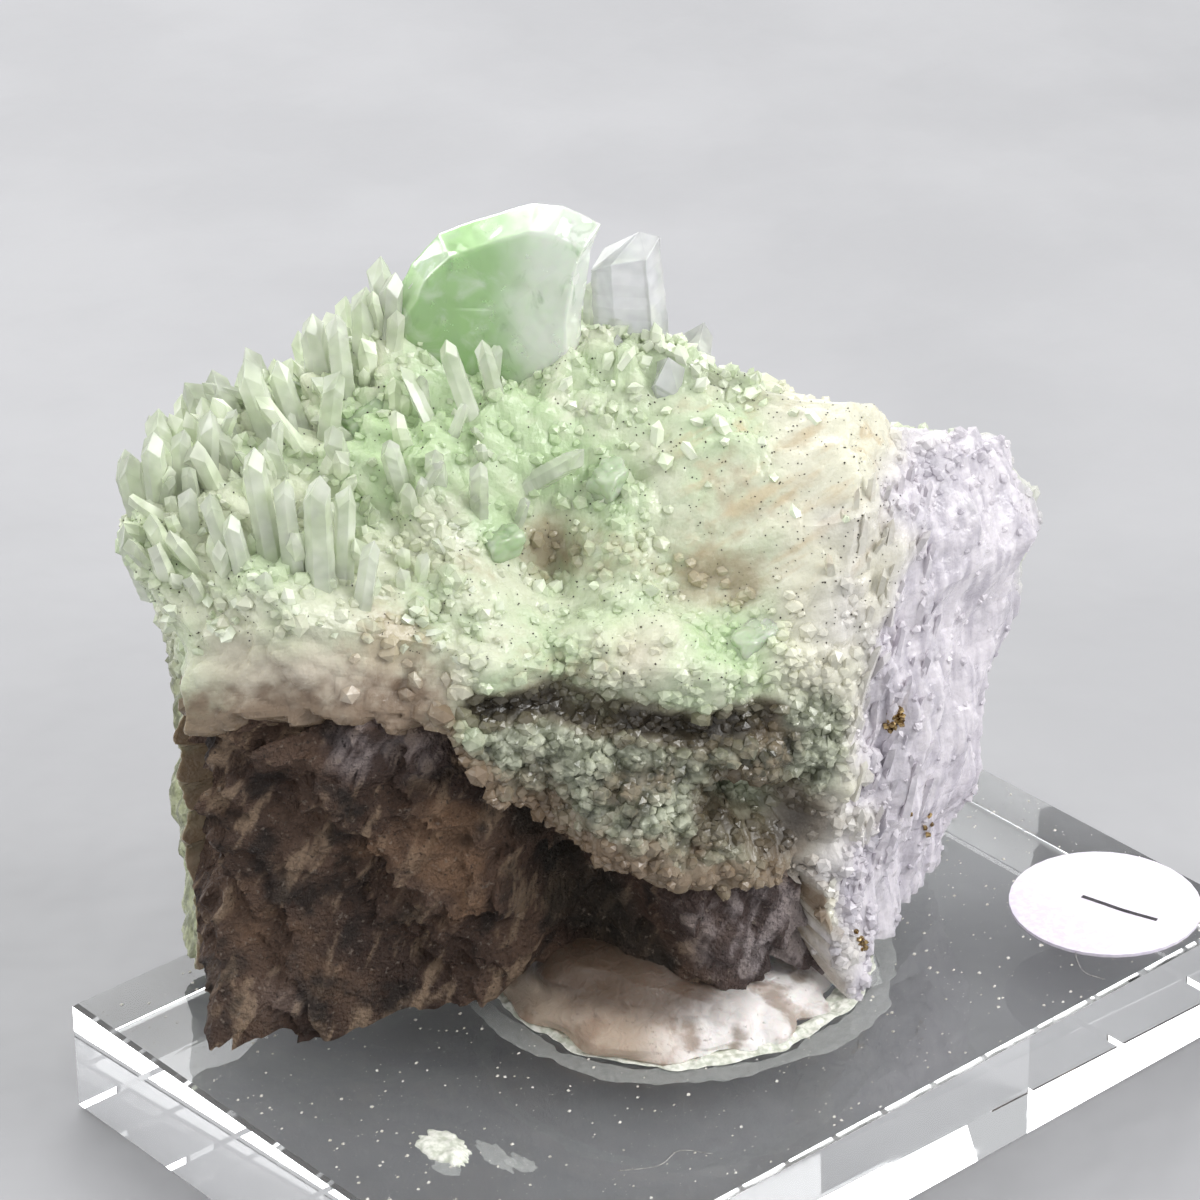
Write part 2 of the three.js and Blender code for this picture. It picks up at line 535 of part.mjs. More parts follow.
addPiece(specimen, 'host_rock', geometryFromSolid(hostRock), 'rock');
addPiece(specimen, 'crystal_crust', geometryFromSolid(crystalCrust), 'crust');
let taken = grownStone;
for (const set of SPRAYS) {
  addPiece(specimen, set.name, geometryFromSolid(spray(set).subtract(taken)), 'quartz');
  taken = joined([taken, spray(set, GAP)]);
}
addPiece(specimen, 'augelite_crystal', geometryFromSolid(augeliteTablet().subtract(taken)), 'augelite');
addPiece(cluster, 'acrylic_base', acrylicSlab(), 'acrylic');
addPiece(cluster, 'number_label', labelDisc(), 'label',
  [...LABEL_PLACE, SLAB_HEIGHT + SEAT_GAP + LABEL_THICKNESS / 2]);
const grownStoneOnSlab = grownStone.rotate([0, 0, THREE.MathUtils.radToDeg(SPECIMEN_TURN)]);
addPiece(cluster, 'mounting_putty', geometryFromSolid(puttyLump().subtract(grownStoneOnSlab)), 'putty');

export default cluster;
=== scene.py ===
import math

import bpy
import numpy as np
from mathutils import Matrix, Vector


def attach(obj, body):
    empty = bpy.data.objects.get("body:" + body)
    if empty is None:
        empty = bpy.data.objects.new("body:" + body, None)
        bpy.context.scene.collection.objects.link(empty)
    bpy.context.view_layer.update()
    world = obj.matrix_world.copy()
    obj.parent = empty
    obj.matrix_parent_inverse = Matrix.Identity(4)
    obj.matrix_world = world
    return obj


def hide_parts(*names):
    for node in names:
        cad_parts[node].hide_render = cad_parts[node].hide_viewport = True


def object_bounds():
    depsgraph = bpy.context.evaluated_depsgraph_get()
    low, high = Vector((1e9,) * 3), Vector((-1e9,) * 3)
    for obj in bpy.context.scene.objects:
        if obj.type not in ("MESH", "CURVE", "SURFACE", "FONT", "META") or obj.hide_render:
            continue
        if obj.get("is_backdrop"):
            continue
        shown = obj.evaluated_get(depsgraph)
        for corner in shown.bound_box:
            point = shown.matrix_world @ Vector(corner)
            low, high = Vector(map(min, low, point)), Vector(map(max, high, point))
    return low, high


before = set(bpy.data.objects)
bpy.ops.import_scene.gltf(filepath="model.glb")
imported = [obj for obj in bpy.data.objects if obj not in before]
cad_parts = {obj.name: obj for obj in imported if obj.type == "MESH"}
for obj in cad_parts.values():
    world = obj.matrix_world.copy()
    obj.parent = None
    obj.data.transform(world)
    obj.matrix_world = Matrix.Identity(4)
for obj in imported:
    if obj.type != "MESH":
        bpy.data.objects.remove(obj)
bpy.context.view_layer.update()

# Sizes and places
MM = 0.001
SPECIMEN_TURN = math.radians(-41.79)
CAMERA_PLACE, CAMERA_TILT = (-0.2057, -0.2217, 0.2057), math.radians(61.36)
LENS, SENSOR = 141.0, 36.0
SLAB_TOP = 9.5
FILM_FLOOR, PUTTY_FLOOR = SLAB_TOP + 0.01, SLAB_TOP + 0.02
INK_HEIGHT, INK_FLATTENED = 9.785, 0.12
PUTTY_RADIUS, PUTTY_LEFT_BULGE, PUTTY_ARCH, PUTTY_LOW_SHARE = 12.8, 1.6, 3.3, 0.3
HEART = np.array((-6.0, 5.0, 33.0))

# The stone's outline at six heights, at fourteen corners: front left, two on the left lobe, valley, two
# on the right lobe, front right edge, three on the right face, two at the back, back left, left face.
FOOT = [
    (-33, -16.5, 11.5), (-24, -13.8, 11.8), (-15, -11.8, 11.8), (-7.5, -7.4, 12.2), (-2, -9, 12.2),
    (3, -10, 10.8), (12.4, -5.4, 11.2), (17, 0.8, 12), (21.4, 10.5, 12), (20, 18, 13), (8, 20, 13),
    (-9, 21, 14), (-26, 15, 13), (-37, 1, 13)]
LOW = [
    (-35.2, -14.8, 21), (-25, -14.2, 22), (-15, -12.8, 23), (-9, -9, 23), (-3, -11, 23), (4.5, -10, 20),
    (12.5, -6, 21), (17.5, 0, 21), (23, 9.5, 21), (23.6, 17, 21), (9, 22.5, 21), (-9, 23.5, 21),
    (-28, 17, 21), (-37.2, 3, 22)]
WAIST = [
    (-34.8, -14, 34), (-25, -14.2, 34), (-16, -13.6, 33), (-9.5, -11.8, 32.5), (-3, -11.6, 32),
    (5, -10.4, 31), (12.3, -6.6, 31), (18, -0.5, 31), (24.9, 9, 31), (25.2, 17, 31), (10, 24, 31),
    (-9, 25, 31), (-29, 18.5, 31), (-36.6, 3, 37)]
RIM = [
    (-33.8, -13, 44.5), (-26, -13.5, 46), (-17.6, -13, 44), (-9, -11.5, 41), (-3, -11.5, 40.5),
    (5, -10, 39.5), (12.2, -6.8, 41), (18.5, -0.5, 41), (26, 8.5, 41), (27.3, 16, 38), (12, 23.5, 40),
    (-9, 25, 43), (-30, 18.5, 42), (-38.4, 0, 44)]
SLOPE = [
    (-36.5, -9, 49.5), (-28, -5, 50.5), (-19, -4, 49.5), (-9.8, -4, 47.6), (-2.5, -2, 48.3),
    (5.5, -3, 48), (12.2, -4.5, 49.3), (18.5, 2.5, 49.3), (23.6, 10, 48.6), (25, 14.5, 46),
    (12.5, 18.5, 45), (-8, 20.5, 50.5), (-28, 15.5, 48.5), (-40.2, -2, 48.5)]
RIDGE = [
    (-35, -0.5, 50), (-27, 2.5, 53.4), (-20, 5.5, 56), (-11, 8, 57.6), (-3, 6.5, 56), (5, 4.5, 54.8),
    (11.5, 3, 54.6), (14, 6, 51.8), (14.5, 9, 50), (14, 11, 49.2), (7, 11.5, 51.5), (-8, 14, 56.5),
    (-24, 11.8, 53.8), (-35, 3, 49)]
BELLY, SUMMIT = np.array((-6.0, 5.0, 15.5)), np.array((-10.0, 11.0, 58.2))
BELLY_REACH, BELLY_HEIGHT = 0.6, 15.2
CORNERS = len(FOOT)

# Lumps stand out from the stone and pits sink into it: (x, y, z, radius, height).
LUMPS = [
    (-9.6, -5, 47.6, 3.6, -3.6), (1.6, -5, 45.5, 4.2, -2.4), (5.4, -6.5, 44, 2.6, -2.2),
    (-20.3, -12.5, 43.5, 2.8, -2.2), (-21.5, -13.5, 42.5, 1.4, 1.2), (-18.8, -13, 41.5, 1.3, 1.1),
    (-5, -10, 43.2, 1.5, 1.6), (8.3, -9, 28.5, 3.2, -3), (-9, -12.5, 39.5, 2.4, -2),
    (-4, -12.5, 38.6, 2.4, -1.8), (0, -12, 38, 2.2, -1.2), (-5.5, -12, 29, 4, 1.2),
    (1, -11.5, 26, 3.5, 1.1), (13, -5.5, 17, 1.9, -1.4), (9, -1.5, 53.5, 4, 1), (1, 1, 52.8, 4, 0.7),
    (-33, -14.5, 28, 5, -0.8), (-27, -14.5, 17, 5, 0.9), (-20, -14, 26, 4, -0.9), (-30, -15, 36, 4, 0.8),
    (-12.5, -12, 26, 3.5, -1), (24, 6, 36, 5, -0.7), (22, 4, 26, 5, 0.8), (25.5, 12, 44, 4, 0.8),
    (-38.5, -4, 46, 4, 0.9), (-24, 21, 34, 8, 1.6), (2, 25, 30, 8, -1.8), (18, 21, 24, 6, 1.4),
    (-14, 24, 20, 7, -1.6), (-34, 11, 30, 7, -1.3), (-22, 17, 50, 6, 1.4), (4, 18, 49, 5, -1.4),
    (-8, -9, 24, 3.5, -2.2), (-4.5, -9.5, 19.5, 3.2, -2.2), (-10, -9.5, 20, 3.5, -1.6),
    (-1.5, -9, 16, 2.4, -1.4), (-5.5, -11.8, 27.3, 2.2, 1.2), (-1.2, -11.5, 23.4, 2.2, 1.2),
    (1.2, -10.5, 19.5, 2, 1), (2.4, -10, 15.5, 2, 0.8)]
# Waves of the broken faces: (x, y and z turns per mm, shift, height).
WAVES = [
    (0.42, 0.31, -0.22, 0.4, 0.32), (-0.27, 0.45, 0.38, 2.1, 0.3), (0.61, -0.24, 0.52, 4.4, 0.24),
    (-0.5, -0.66, 0.3, 1.3, 0.2), (0.25, 0.8, -0.7, 5.2, 0.16), (0.95, 0.3, 0.62, 3.3, 0.13)]
# Height of the contact between rock and crust at places round the outline.
CONTACT = [
    (0, 37.5), (1, 38.5), (2, 37), (2.4, 31), (3, 27.5), (4, 24.5), (5, 21.5), (5.75, 20.5), (6.05, 6),
    (8.4, 6), (9, 18), (10, 31), (11, 35), (12, 30), (12.8, 6), (13.35, 6), (13.6, 36), (14, 37.5)]
# The crust's depth grows steeply to that of its edge and then slowly, and it dives a little under the rock.
CRUST_STEEP, CRUST_EDGE, CRUST_GROWTH, CRUST_DEEPEST, CRUST_DIVE = 1.6, 2.6, 0.22, 8.0, 1.8

# Grooves in the front: the points that each follows, its radius, its depth and how dark its painted shade is.
CREVICE = [
    (-14, -12.6, 38.6), (-9.2, -10.6, 38.4), (-5.6, -10.8, 37), (-2.7, -10.8, 36.6), (1.5, -10.5, 35.6),
    (6, -9.4, 36)]
POCKET = [(3.8, -10.2, 29.2), (6.2, -9.2, 28), (8.6, -7.8, 25.8)]
VUG = [(-11.4, -2.6, 46), (-9.4, -1.7, 45.8), (-7.6, -2.4, 45.3)]
HOLLOWS = [(1.4, -3.1, 44.9), (4.4, -4.1, 44.4), (6, -4.6, 43.8)]
GROOVES = [
    (CREVICE, 1.0, 1.6, 1), (POCKET, 1.9, 4.2, 1), (VUG, 1.2, 2.8, 0.38), (HOLLOWS, 1.1, 2.0, 0.24)]

# Colour patches on the crust: (x, y, z, radius, strength).
GREEN_PATCHES = [
    (-17.9, 1.5, 53.8, 5.5, 0.8), (-21, -1.5, 52.5, 4.5, 0.7), (-8.5, 1.1, 51.5, 4, 0.8),
    (-13.5, -3.3, 48.3, 2.2, 0.9), (5.2, -7.5, 41.3, 4, 0.7), (2, -8.5, 42.5, 2.6, 0.4),
    (-28, 6, 53, 5, 0.8), (-12, 3, 55, 4, 0.5), (-28, -13, 46, 3, 0.3), (7.5, -8.2, 38.4, 2.6, 0.7),
    (-4.5, -2, 49, 3, 0.45), (-14, 14, 56, 6, 0.7), (10, 10, 52, 5, 0.4), (18.5, 8.7, 49.5, 4, 0.4)]
TAN_PATCHES = [
    (-20.5, -12.3, 43.6, 3.4, 1), (-9.6, -1.7, 45.9, 2.8, 0.9), (1.6, -3.1, 44.8, 2.8, 0.8),
    (4.6, -4.1, 44.4, 2.4, 0.9), (-4.5, -3.8, 46.4, 3, 0.5), (3.5, -1, 50.5, 3.5, 0.5),
    (8, -2.6, 49.5, 3, 0.5), (-23, -13, 40, 4, 0.5), (-15, -7, 46, 3, 0.5), (-7, -10, 40.5, 3, 0.5),
    (-12, -11, 41.5, 2.5, 0.5), (-10, 22, 40, 12, 0.6)]
PINK_PATCHES = [
    (-26.9, -13.7, 39.9, 5.5, 1), (-22, -13.5, 37.5, 4, 0.9), (-3, -10, 42, 3.4, 0.5),
    (-31, -13, 43, 4, 0.4), (-17, -12, 40, 3, 0.6)]
GREY_PATCHES = [
    (-9, -11, 32, 6.5, 1), (-2.7, -12, 30, 7, 1), (4.7, -9.9, 28, 6, 1), (8, -8.4, 31.5, 4.6, 1.2),
    (-12.8, -12.8, 34.5, 3, 1), (9.6, -7.4, 35, 3.4, 0.8), (-37, -4, 38, 5, 0.5)]
MURKY_PATCHES = [
    (7, -9.5, 33.2, 2.6, 1), (4.6, -10.4, 33, 2.4, 0.8), (-4.2, -12.5, 31.8, 2.4, 0.9),
    (-1, -12, 32.6, 2, 0.8), (-9.9, -11.5, 34, 2.4, 0.7), (2, -11, 34, 1.6, 0.6),
    (-9, -11, 30.5, 1.8, 0.5)]

# Where small crystals crowd into a mass between the standing ones: (x, y, z, radius, strength).
DRUSE_PATCHES = [
    (-33.5, -6.5, 48.5, 4.6, 1), (-29, -2, 50.5, 4.5, 1), (-24, 2, 53.5, 4.5, 1), (-20, 5, 56, 4, 0.9),
    (-16, -2, 51, 3.6, 0.8), (-27, -10, 46.5, 3.6, 0.9), (-37.5, -4.5, 47.5, 3, 0.8),
    (-31.5, 2, 52, 4, 0.8), (-22, -3, 51, 3, 0.6), (-6, 5, 55.5, 3.6, 0.8), (-12, 1, 53, 3, 0.7)]

# Quartz crystals that stand out: root, tip, width and turn, then thinness, end and slant.
SPIRE = [
    ((-3, 9.4, 53), (-3.9, 9.4, 65.6), 6, 0.1, 0.7, 0.25, 0.3),
    ((-4.7, 7.4, 52), (-4.6, 7.1, 58.8), 1.8, 0.2), ((1, 9.8, 53), (1.8, 9.6, 58.4), 2.8, 0.5),
    ((-0.4, 6, 52), (-1.2, 5, 58), 3.6, 0.1, 1, 0.8)]
FRONT_SPRAY = [
    ((-28.2, -10.5, 45), (-30, -9.8, 58), 2, 0.2), ((-26.8, -11.2, 44.5), (-27.8, -11, 56.2), 1.9, 0.6),
    ((-25.2, -11.4, 44.5), (-25.4, -11.3, 56.6), 2.3, 0.1, 0.8),
    ((-24, -10.4, 45), (-23.4, -9.6, 55), 1.8, 0.9), ((-29.6, -11.4, 44), (-31.6, -11.8, 53.8), 1.7, 0.3),
    ((-30.6, -10.2, 45), (-33.2, -10.2, 54.6), 1.8, 0.8),
    ((-22.8, -11.4, 43.5), (-21.6, -11.6, 51.6), 1.7, 0.4),
    ((-28.4, -12.6, 42.5), (-29.2, -13.8, 50.4), 1.7, 0.7)]
LEFT_SPRAY = [
    ((-36.4, -6.5, 46), (-37.2, -7.4, 58), 2, 0.2), ((-35.2, -5.5, 47), (-35.2, -6, 57.6), 1.8, 0.5),
    ((-34, -4.5, 48), (-33.2, -4.8, 58.4), 1.9, 0.9), ((-37.6, -5.5, 46), (-39.2, -6, 55.6), 2.1, 0.4),
    ((-37.8, -3, 46.5), (-39.9, -2.6, 54.2), 2.4, 0.1), ((-36, -2, 48), (-37.6, -0.4, 56.4), 2.3, 0.7),
    ((-37.5, -7.2, 45), (-39.5, -8, 51), 2.2, 0.3), ((-34.4, -8.4, 46), (-34.6, -9.6, 54.8), 1.8, 0.6)]
CREST_SPRAY = [
    ((-27.8, -1.5, 50.5), (-31.2, 0.2, 60), 2.4, 0.4, 0.7), ((-26.2, -1, 51), (-29, 1, 59.6), 2, 0.1),
    ((-30.4, 0.5, 50), (-33.6, 1.2, 58.6), 2.6, 0.8), ((-31.6, 1.6, 49.5), (-35.4, 2.4, 57.4), 2.6, 0.3),
    ((-28.8, 3.4, 52), (-31.4, 5.4, 58.6), 2.4, 0.6), ((-25, 3, 53), (-26.6, 3.8, 62), 2.2, 0.2),
    ((-23.8, 2, 53), (-24.6, 2.6, 62.4), 2, 0.7), ((-22.6, 4, 54), (-22.8, 5.4, 63.4), 2.1, 0.5),
    ((-21.2, 5, 55), (-20.6, 6, 64.2), 2, 0.1), ((-20, 6, 55), (-21.8, 7.4, 64.8), 2.2, 0.9),
    ((-18.8, 6.4, 55), (-18.9, 7, 64), 1.8, 0.3), ((-25.6, 0, 51), (-24.4, -1.6, 60), 2, 0.6),
    ((-23.4, -2.4, 50), (-24.8, -4.6, 57), 1.9, 0.2), ((-27.4, -4, 49), (-29.4, -5.4, 56.6), 1.9, 0.5),
    ((-30.6, -3.6, 48.5), (-33.2, -3.4, 56.8), 2.2, 0.8)]
MIDDLE_BLADES = [
    ((-13.6, 0.4, 51), (-16.8, 1.4, 61), 1.7, 0.4, 0.6),
    ((-15.4, -1.4, 50), (-19.8, 0.8, 59.4), 1.8, 0.2, 0.6),
    ((-12.2, 1.8, 52), (-14.2, 3, 60.2), 1.6, 0.8), ((-16.8, -3, 49), (-17.6, -4.4, 55.2), 1.8, 0.3),
    ((-14.4, -3.4, 48.4), (-14.2, -5, 54.4), 1.7, 0.7),
    ((-19.2, -3.4, 49), (-20.8, -4.8, 56.2), 1.8, 0.1), ((-11.2, -0.4, 50), (-6.6, -1.4, 53.4), 1.8, 0.5)]

# The big augelite crystal: its outline seen from the front, its middle, and its rings (depth, scale).
AUGELITE_FRONT = [
    (-21.2, 60.4), (-19.4, 64.2), (-17.3, 66.6), (-14.7, 67.6), (-10.3, 69), (-8.1, 68.8), (-5.4, 67.5),
    (-6.2, 65.4), (-6.9, 61.2), (-7.2, 54), (-20.6, 53.5)]
AUGELITE_MIDDLE = (-12.6, 61.4)
AUGELITE_RINGS = [(5.0, 0.0), (5.4, 0.82), (7.4, 1.0), (9.4, 0.87), (11.8, 0.66), (11.8, 0.0)]
# Small green crystals in the crust: place, size and turn. All are sunk and scaled by the same amount.
SMALL_SINK, SMALL_SCALE = 0.7, 0.85
SMALL_AUGELITES = [
    ((-22.6, 1.4, 54.6), (4.2, 3, 4.4), 0.5), ((-17, -0.6, 52.4), (4.6, 3.4, 4.2), 0.2),
    ((-28.6, 6.4, 52.6), (3.8, 3.2, 3.8), 0.9), ((-12.6, -4.2, 48.2), (3.2, 2.4, 2.2), 0.3),
    ((-5, -0.6, 51.4), (3.2, 2.4, 3), 0.6), ((5.6, -7, 41.4), (4.2, 2.6, 3.4), 0.4)]


# Fields in space
def lattice(cell, seed):
    """A repeatable random value from 0 to 1 for each whole-number place: the fraction of a large sine."""
    wave = np.sin(cell @ np.array((127.1, 311.7, 74.7)) + seed * 53.3) * 43758.5453
    return wave - np.floor(wave)


def bumps(p, size, seed):
    """Smooth random heights from -1 to 1, about one bump per size in mm: the eight lattice values round
    a point are blended by a smooth step along each axis."""
    q = p / size
    cell = np.floor(q)
    part = q - cell
    part = part * part * (3 - 2 * part)
    total = np.zeros(q.shape[:-1])
    for corner in np.ndindex(2, 2, 2):
        corner = np.array(corner)
        weight = np.prod(np.where(corner == 1, part, 1 - part), axis=-1)
        total += weight * lattice(cell + corner, seed)
    return total * 2 - 1


def chips(p, size, seed, tilt=1.0, bend=1.1):
    """Grain heights: space is split between scattered seeds. Each seed carries a leaning face that bends down
    away from it, and the highest face at the point counts, so faces meet in creases. Its negative is a
    surface of hollows that meet in sharp ridges, as on broken stone."""
    q = p / size
    cell = np.floor(q)
    height = np.full(q.shape[:-1], -9.0)
    for step in np.ndindex(3, 3, 3):
        other = cell + np.array(step) - 1
        values = [lattice(other, seed + k) for k in range(7)]
        away = q - other - np.stack(values[:3], axis=-1)
        lean = (np.stack(values[3:6], axis=-1) - 0.5) * 2 * tilt
        face = values[6] - 0.5 + np.sum(away * lean, axis=-1) - bend * np.sum(away * away, axis=-1)
        height = np.maximum(height, face)
    return height


def patch(p, patches):
    """How strongly a point lies in any of the patches: one less the product of what each bell leaves."""
    left = np.ones(p.shape[:-1])
    for x, y, z, radius, strength in patches:
        far = np.sum((p - np.array((x, y, z))) ** 2, axis=-1) / radius**2
        left *= 1 - np.clip(strength * np.exp(-far), 0, 1)
    return 1 - left


def near_path(p, path):
    """Distance from a path: the least distance to any of its straight parts."""
    path = np.array(path, float)
    least = np.full(p.shape[:-1], 1e9)
    for a, b in zip(path[:-1], path[1:]):
        along = np.clip((p - a) @ (b - a) / np.sum((b - a) ** 2), 0, 1)
        least = np.minimum(least, np.linalg.norm(p - a - along[..., None] * (b - a), axis=-1))
    return least


def smooth(value, low, high):
    """0 below low, 1 above high, and a smooth step between."""
    t = np.clip((value - low) / (high - low), 0, 1)
    return t * t * (3 - 2 * t)


# The stone's form
foot = np.array(FOOT, float)
belly_ring = BELLY + (foot - BELLY) * BELLY_REACH
belly_ring[:, 2] = BELLY_HEIGHT
RINGS = np.array([np.tile(BELLY, (CORNERS, 1)), belly_ring, foot, LOW, WAIST, RIM, SLOPE, RIDGE,
                  np.tile(SUMMIT, (CORNERS, 1))], float)


def stone_place(column, level):
    """A place on the ring form. Level -1 is the belly, 0 to 6 are the rings and 7 is the summit. The four
    corners round the place are joined bilinearly."""
    column = np.mod(column, CORNERS)
    i = np.floor(column).astype(int)
    j = np.clip(np.floor(level + 1).astype(int), 0, len(RINGS) - 2)
    across = (column - i)[..., None]
    up = (level + 1 - j)[..., None]
    low = RINGS[j, i] * (1 - across) + RINGS[j, (i + 1) % CORNERS] * across
    high = RINGS[j + 1, i] * (1 - across) + RINGS[j + 1, (i + 1) % CORNERS] * across
    return low * (1 - up) + high * up


def relief(p):
    """Height of lumps and waves: a sum of bells and a sum of sines."""
    height = np.zeros(p.shape[:-1])
    for x, y, z, radius, rise in LUMPS:
        height += rise * np.exp(-np.sum((p - np.array((x, y, z))) ** 2, axis=-1) / radius**2)
    for x, y, z, shift, rise in WAVES:
        height += rise * np.sin(p @ np.array((x, y, z)) + shift)
    return height


def outwards(p, rise):
    """Points moved by rise, straight away from the stone's heart."""
    away = p - HEART
    return p + away * (rise / np.linalg.norm(away, axis=-1))[..., None]


def crust_depth(p, column):
    """Depth of the contact under the skin, negative where rock shows. It grows with the height above
    the contact, whose line is ragged."""
    line = np.interp(np.mod(column, CORNERS), *np.array(CONTACT, float).T)
    line = line + 1.2 * bumps(p, 3.1, 3) + 0.9 * bumps(p, 1.1, 4) + 0.5 * bumps(p, 0.5, 5)
    above = p[..., 2] - line
    depth = np.minimum(above * CRUST_STEEP, CRUST_EDGE + CRUST_GROWTH * above)
    return np.clip(depth, -CRUST_DIVE, CRUST_DEEPEST)


def beside(column, middle, wide):
    """1 on a column and falling to both sides as a bell."""
    return np.exp(-(((np.mod(column, CORNERS) - middle) / wide) ** 2))


def zones(p, column):
    """Weights from 0 to 1 of the crust's kinds of surface: the right face, the back, the grey band on the
    front, the apron on the left lobe and the streaked shoulder."""
    around = np.mod(column, CORNERS)
    x, y, z = np.moveaxis(p, -1, 0)
    start, edge = 5.5, 6.2 + 0.7 * smooth(z, 22, 38)
    right = smooth((around + 0.5 * bumps(p, 3.5, 19) - start) / (edge - start), 0, 1)
    right = right * (1 - smooth(around, 8.6, 9.4)) * (1 - smooth(z, 49, 53))
    back = smooth(around, 9.0, 9.8) * (1 - smooth(around, 12.6, 13.4)) * (1 - smooth(z, 44, 50))
    grey = patch(p, GREY_PATCHES) * (1 - right)
    apron = smooth(-y, 8, 12) * (1 - smooth(x, -20, -15)) * (1 - smooth(z, 44, 47))
    shoulder = smooth(x, -2, 2) * smooth(z, 43.5, 46.5) * (1 - smooth(y, 2, 6)) * (1 - right)
    return right, back, grey, apron, shoulder


def crust_rise(p, column):
    """Height of the crust over the ring form: relief, less its grooves, plus chips and grains that differ
    from zone to zone and a thick druse in its patches. It dives under the rock where rock shows."""
    right, back, grey, apron, shoulder = zones(p, column)
    plain = np.clip(1 - right - grey - apron - shoulder, 0, 1)
    upright, wide_upright, lying = np.array((1, 1, 0.14)), np.array((1, 1, 0.2)), np.array((0.22, 1, 1))
    fibres = bumps(p * upright, 0.75, 11) * 0.42 + bumps(p * wide_upright, 2.2, 12) * 0.5
    slant = p @ np.array(((0.8, 0, 0.6), (0, 1, 0), (-0.6, 0, 0.8))).T
    streaks = bumps(slant * lying, 1.2, 13) * 0.5
    coarse, fine, grain = chips(p, 2.6, 20) * 0.45, chips(p, 1.1, 30) * 0.3, bumps(p, 0.5, 14) * 0.12
    rise = relief(p) + grain
    rise += right * (fibres + 0.6 * fine + coarse - 0.5)
    rise += grey * (2.0 * coarse + 2.2 * fine)
    rise += shoulder * (streaks + 0.7 * coarse + 0.5 * fine)
    rise += apron * (1.3 * coarse + 1.2 * fine)
    rise += plain * (1.8 * coarse + 1.3 * fine)
    rise += 0.8 * bumps(p, 4.2, 17) * beside(column, 6, 0.5)
    druse = patch(p, DRUSE_PATCHES) * smooth(p[..., 0], -39, -34)
    rise += druse * (3.6 + 2.4 * chips(p, 2.3, 25, 1.4) + 1.2 * chips(p, 1.2, 35, 1.2))
    for path, radius, deep, _ in GROOVES:
        rise -= deep * np.exp(-((near_path(p, path) / radius) ** 2))
    depth = crust_depth(p, column)
    corner = beside(column, 6, 0.5) * (1 - smooth(p[..., 2], 24, 32))
    rise += corner * (chips(p, 1.9, 65, 1.5) * 1.3 + 0.6 * fine)
    return rise + 2.6 * np.clip(depth, -CRUST_DIVE, 0) + 0.3 * smooth(depth, 0, 1) * (1 - back)


def rock_rise(p, column):
    """Height of the rock over the ring form: relief plus fracture chips and slanting fibres. It lies under
    the crust where crust covers it."""
    slant = p @ np.array(((0.86, 0, 0.5), (0, 1, 0), (-0.5, 0, 0.86))).T
    fibres = bumps(slant * np.array((1, 1, 0.18)), 0.8, 41) * 0.3
    rise = relief(p) - chips(slant * np.array((1, 1, 0.5)), 4.6, 50, 1.8) * 1.7
    rise -= chips(slant, 2.0, 60, 1.8) * 0.9
    rise += fibres * 1.6 - chips(p, 0.9, 70, 1.6) * 0.4 + bumps(p, 0.45, 42) * 0.14 + 0.7
    rise += 1.0 * (1 - smooth(p[..., 2], 12, 17)) * smooth(-p[..., 0], 20, 28)
    depth = crust_depth(p, column)
    return rise - np.clip(depth, 0, CRUST_DEEPEST) - 0.5 * smooth(depth, -0.8, 0)


def crust_skin(column, level):
    """Points of the crust's surface."""
    p = stone_place(column, level)
    return outwards(p, crust_rise(p, column))


# Meshes
def to_frame(points):
    """Specimen millimetres to metres on the slab: a turn about Z, then the change of unit."""
    c, s = math.cos(SPECIMEN_TURN), math.sin(SPECIMEN_TURN)
    turn = np.array(((c, s, 0), (-s, c, 0), (0, 0, 1)))
    return points @ turn * MM


def add_piece(name, points, faces, finish, stands_for=(), rounded=False, marks=None):
    """A mesh piece that rides with the root body. Points are in metres, faces is a list of whole-number
    arrays with one face a row, marks are values at the points that the finish reads."""
    mesh = bpy.data.meshes.new(name)
    loops = np.concatenate([f.ravel() for f in faces])
    sizes = np.concatenate([np.full(len(f), f.shape[1]) for f in faces])
    mesh.vertices.add(len(points))
    mesh.vertices.foreach_set("co", points.astype(np.float32).ravel())
    mesh.loops.add(len(loops))
    mesh.loops.foreach_set("vertex_index", loops.astype(np.int32))
    mesh.polygons.add(len(sizes))
    mesh.polygons.foreach_set("loop_start", np.concatenate([[0], np.cumsum(sizes)[:-1]]).astype(np.int32))
    mesh.polygons.foreach_set("use_smooth", np.full(len(sizes), rounded))
    mesh.update(calc_edges=True)
    mesh.validate()
    for mark, values in (marks or {}).items():
        layer = mesh.attributes.new(mark, "FLOAT", "POINT")
        layer.data.foreach_set("value", values.astype(np.float32).ravel())
    mesh.materials.append(finish)
    piece = bpy.data.objects.new(name, mesh)
    bpy.context.scene.collection.objects.link(piece)
    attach(piece, "root")
    if stands_for:
        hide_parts(*stands_for)
    return piece


def grid_faces(rows, around):
    """Faces of a closed skin of rows that go round, with a pole point before the first and after the last."""
    i = np.arange(around)
    n = (i + 1) % around
    low = 1 + np.arange(rows - 1)[:, None] * around
    quads = np.stack([low + i, low + n, low + around + n, low + around + i], axis=-1).reshape(-1, 4)
    last = 1 + rows * around
    first_fan = np.stack([np.zeros(around, int), 1 + n, 1 + i], axis=-1)
    last_fan = np.stack([np.full(around, last), last - around + i, last - around + n], axis=-1)
    return [quads, first_fan, last_fan]


def spaced(stops):
    """Values from stop to stop, with the given number of even steps between two."""
    parts = [np.linspace(a, b, steps, endpoint=False) for (a, steps), (b, _) in zip(stops[:-1], stops[1:])]
    return np.concatenate(parts)


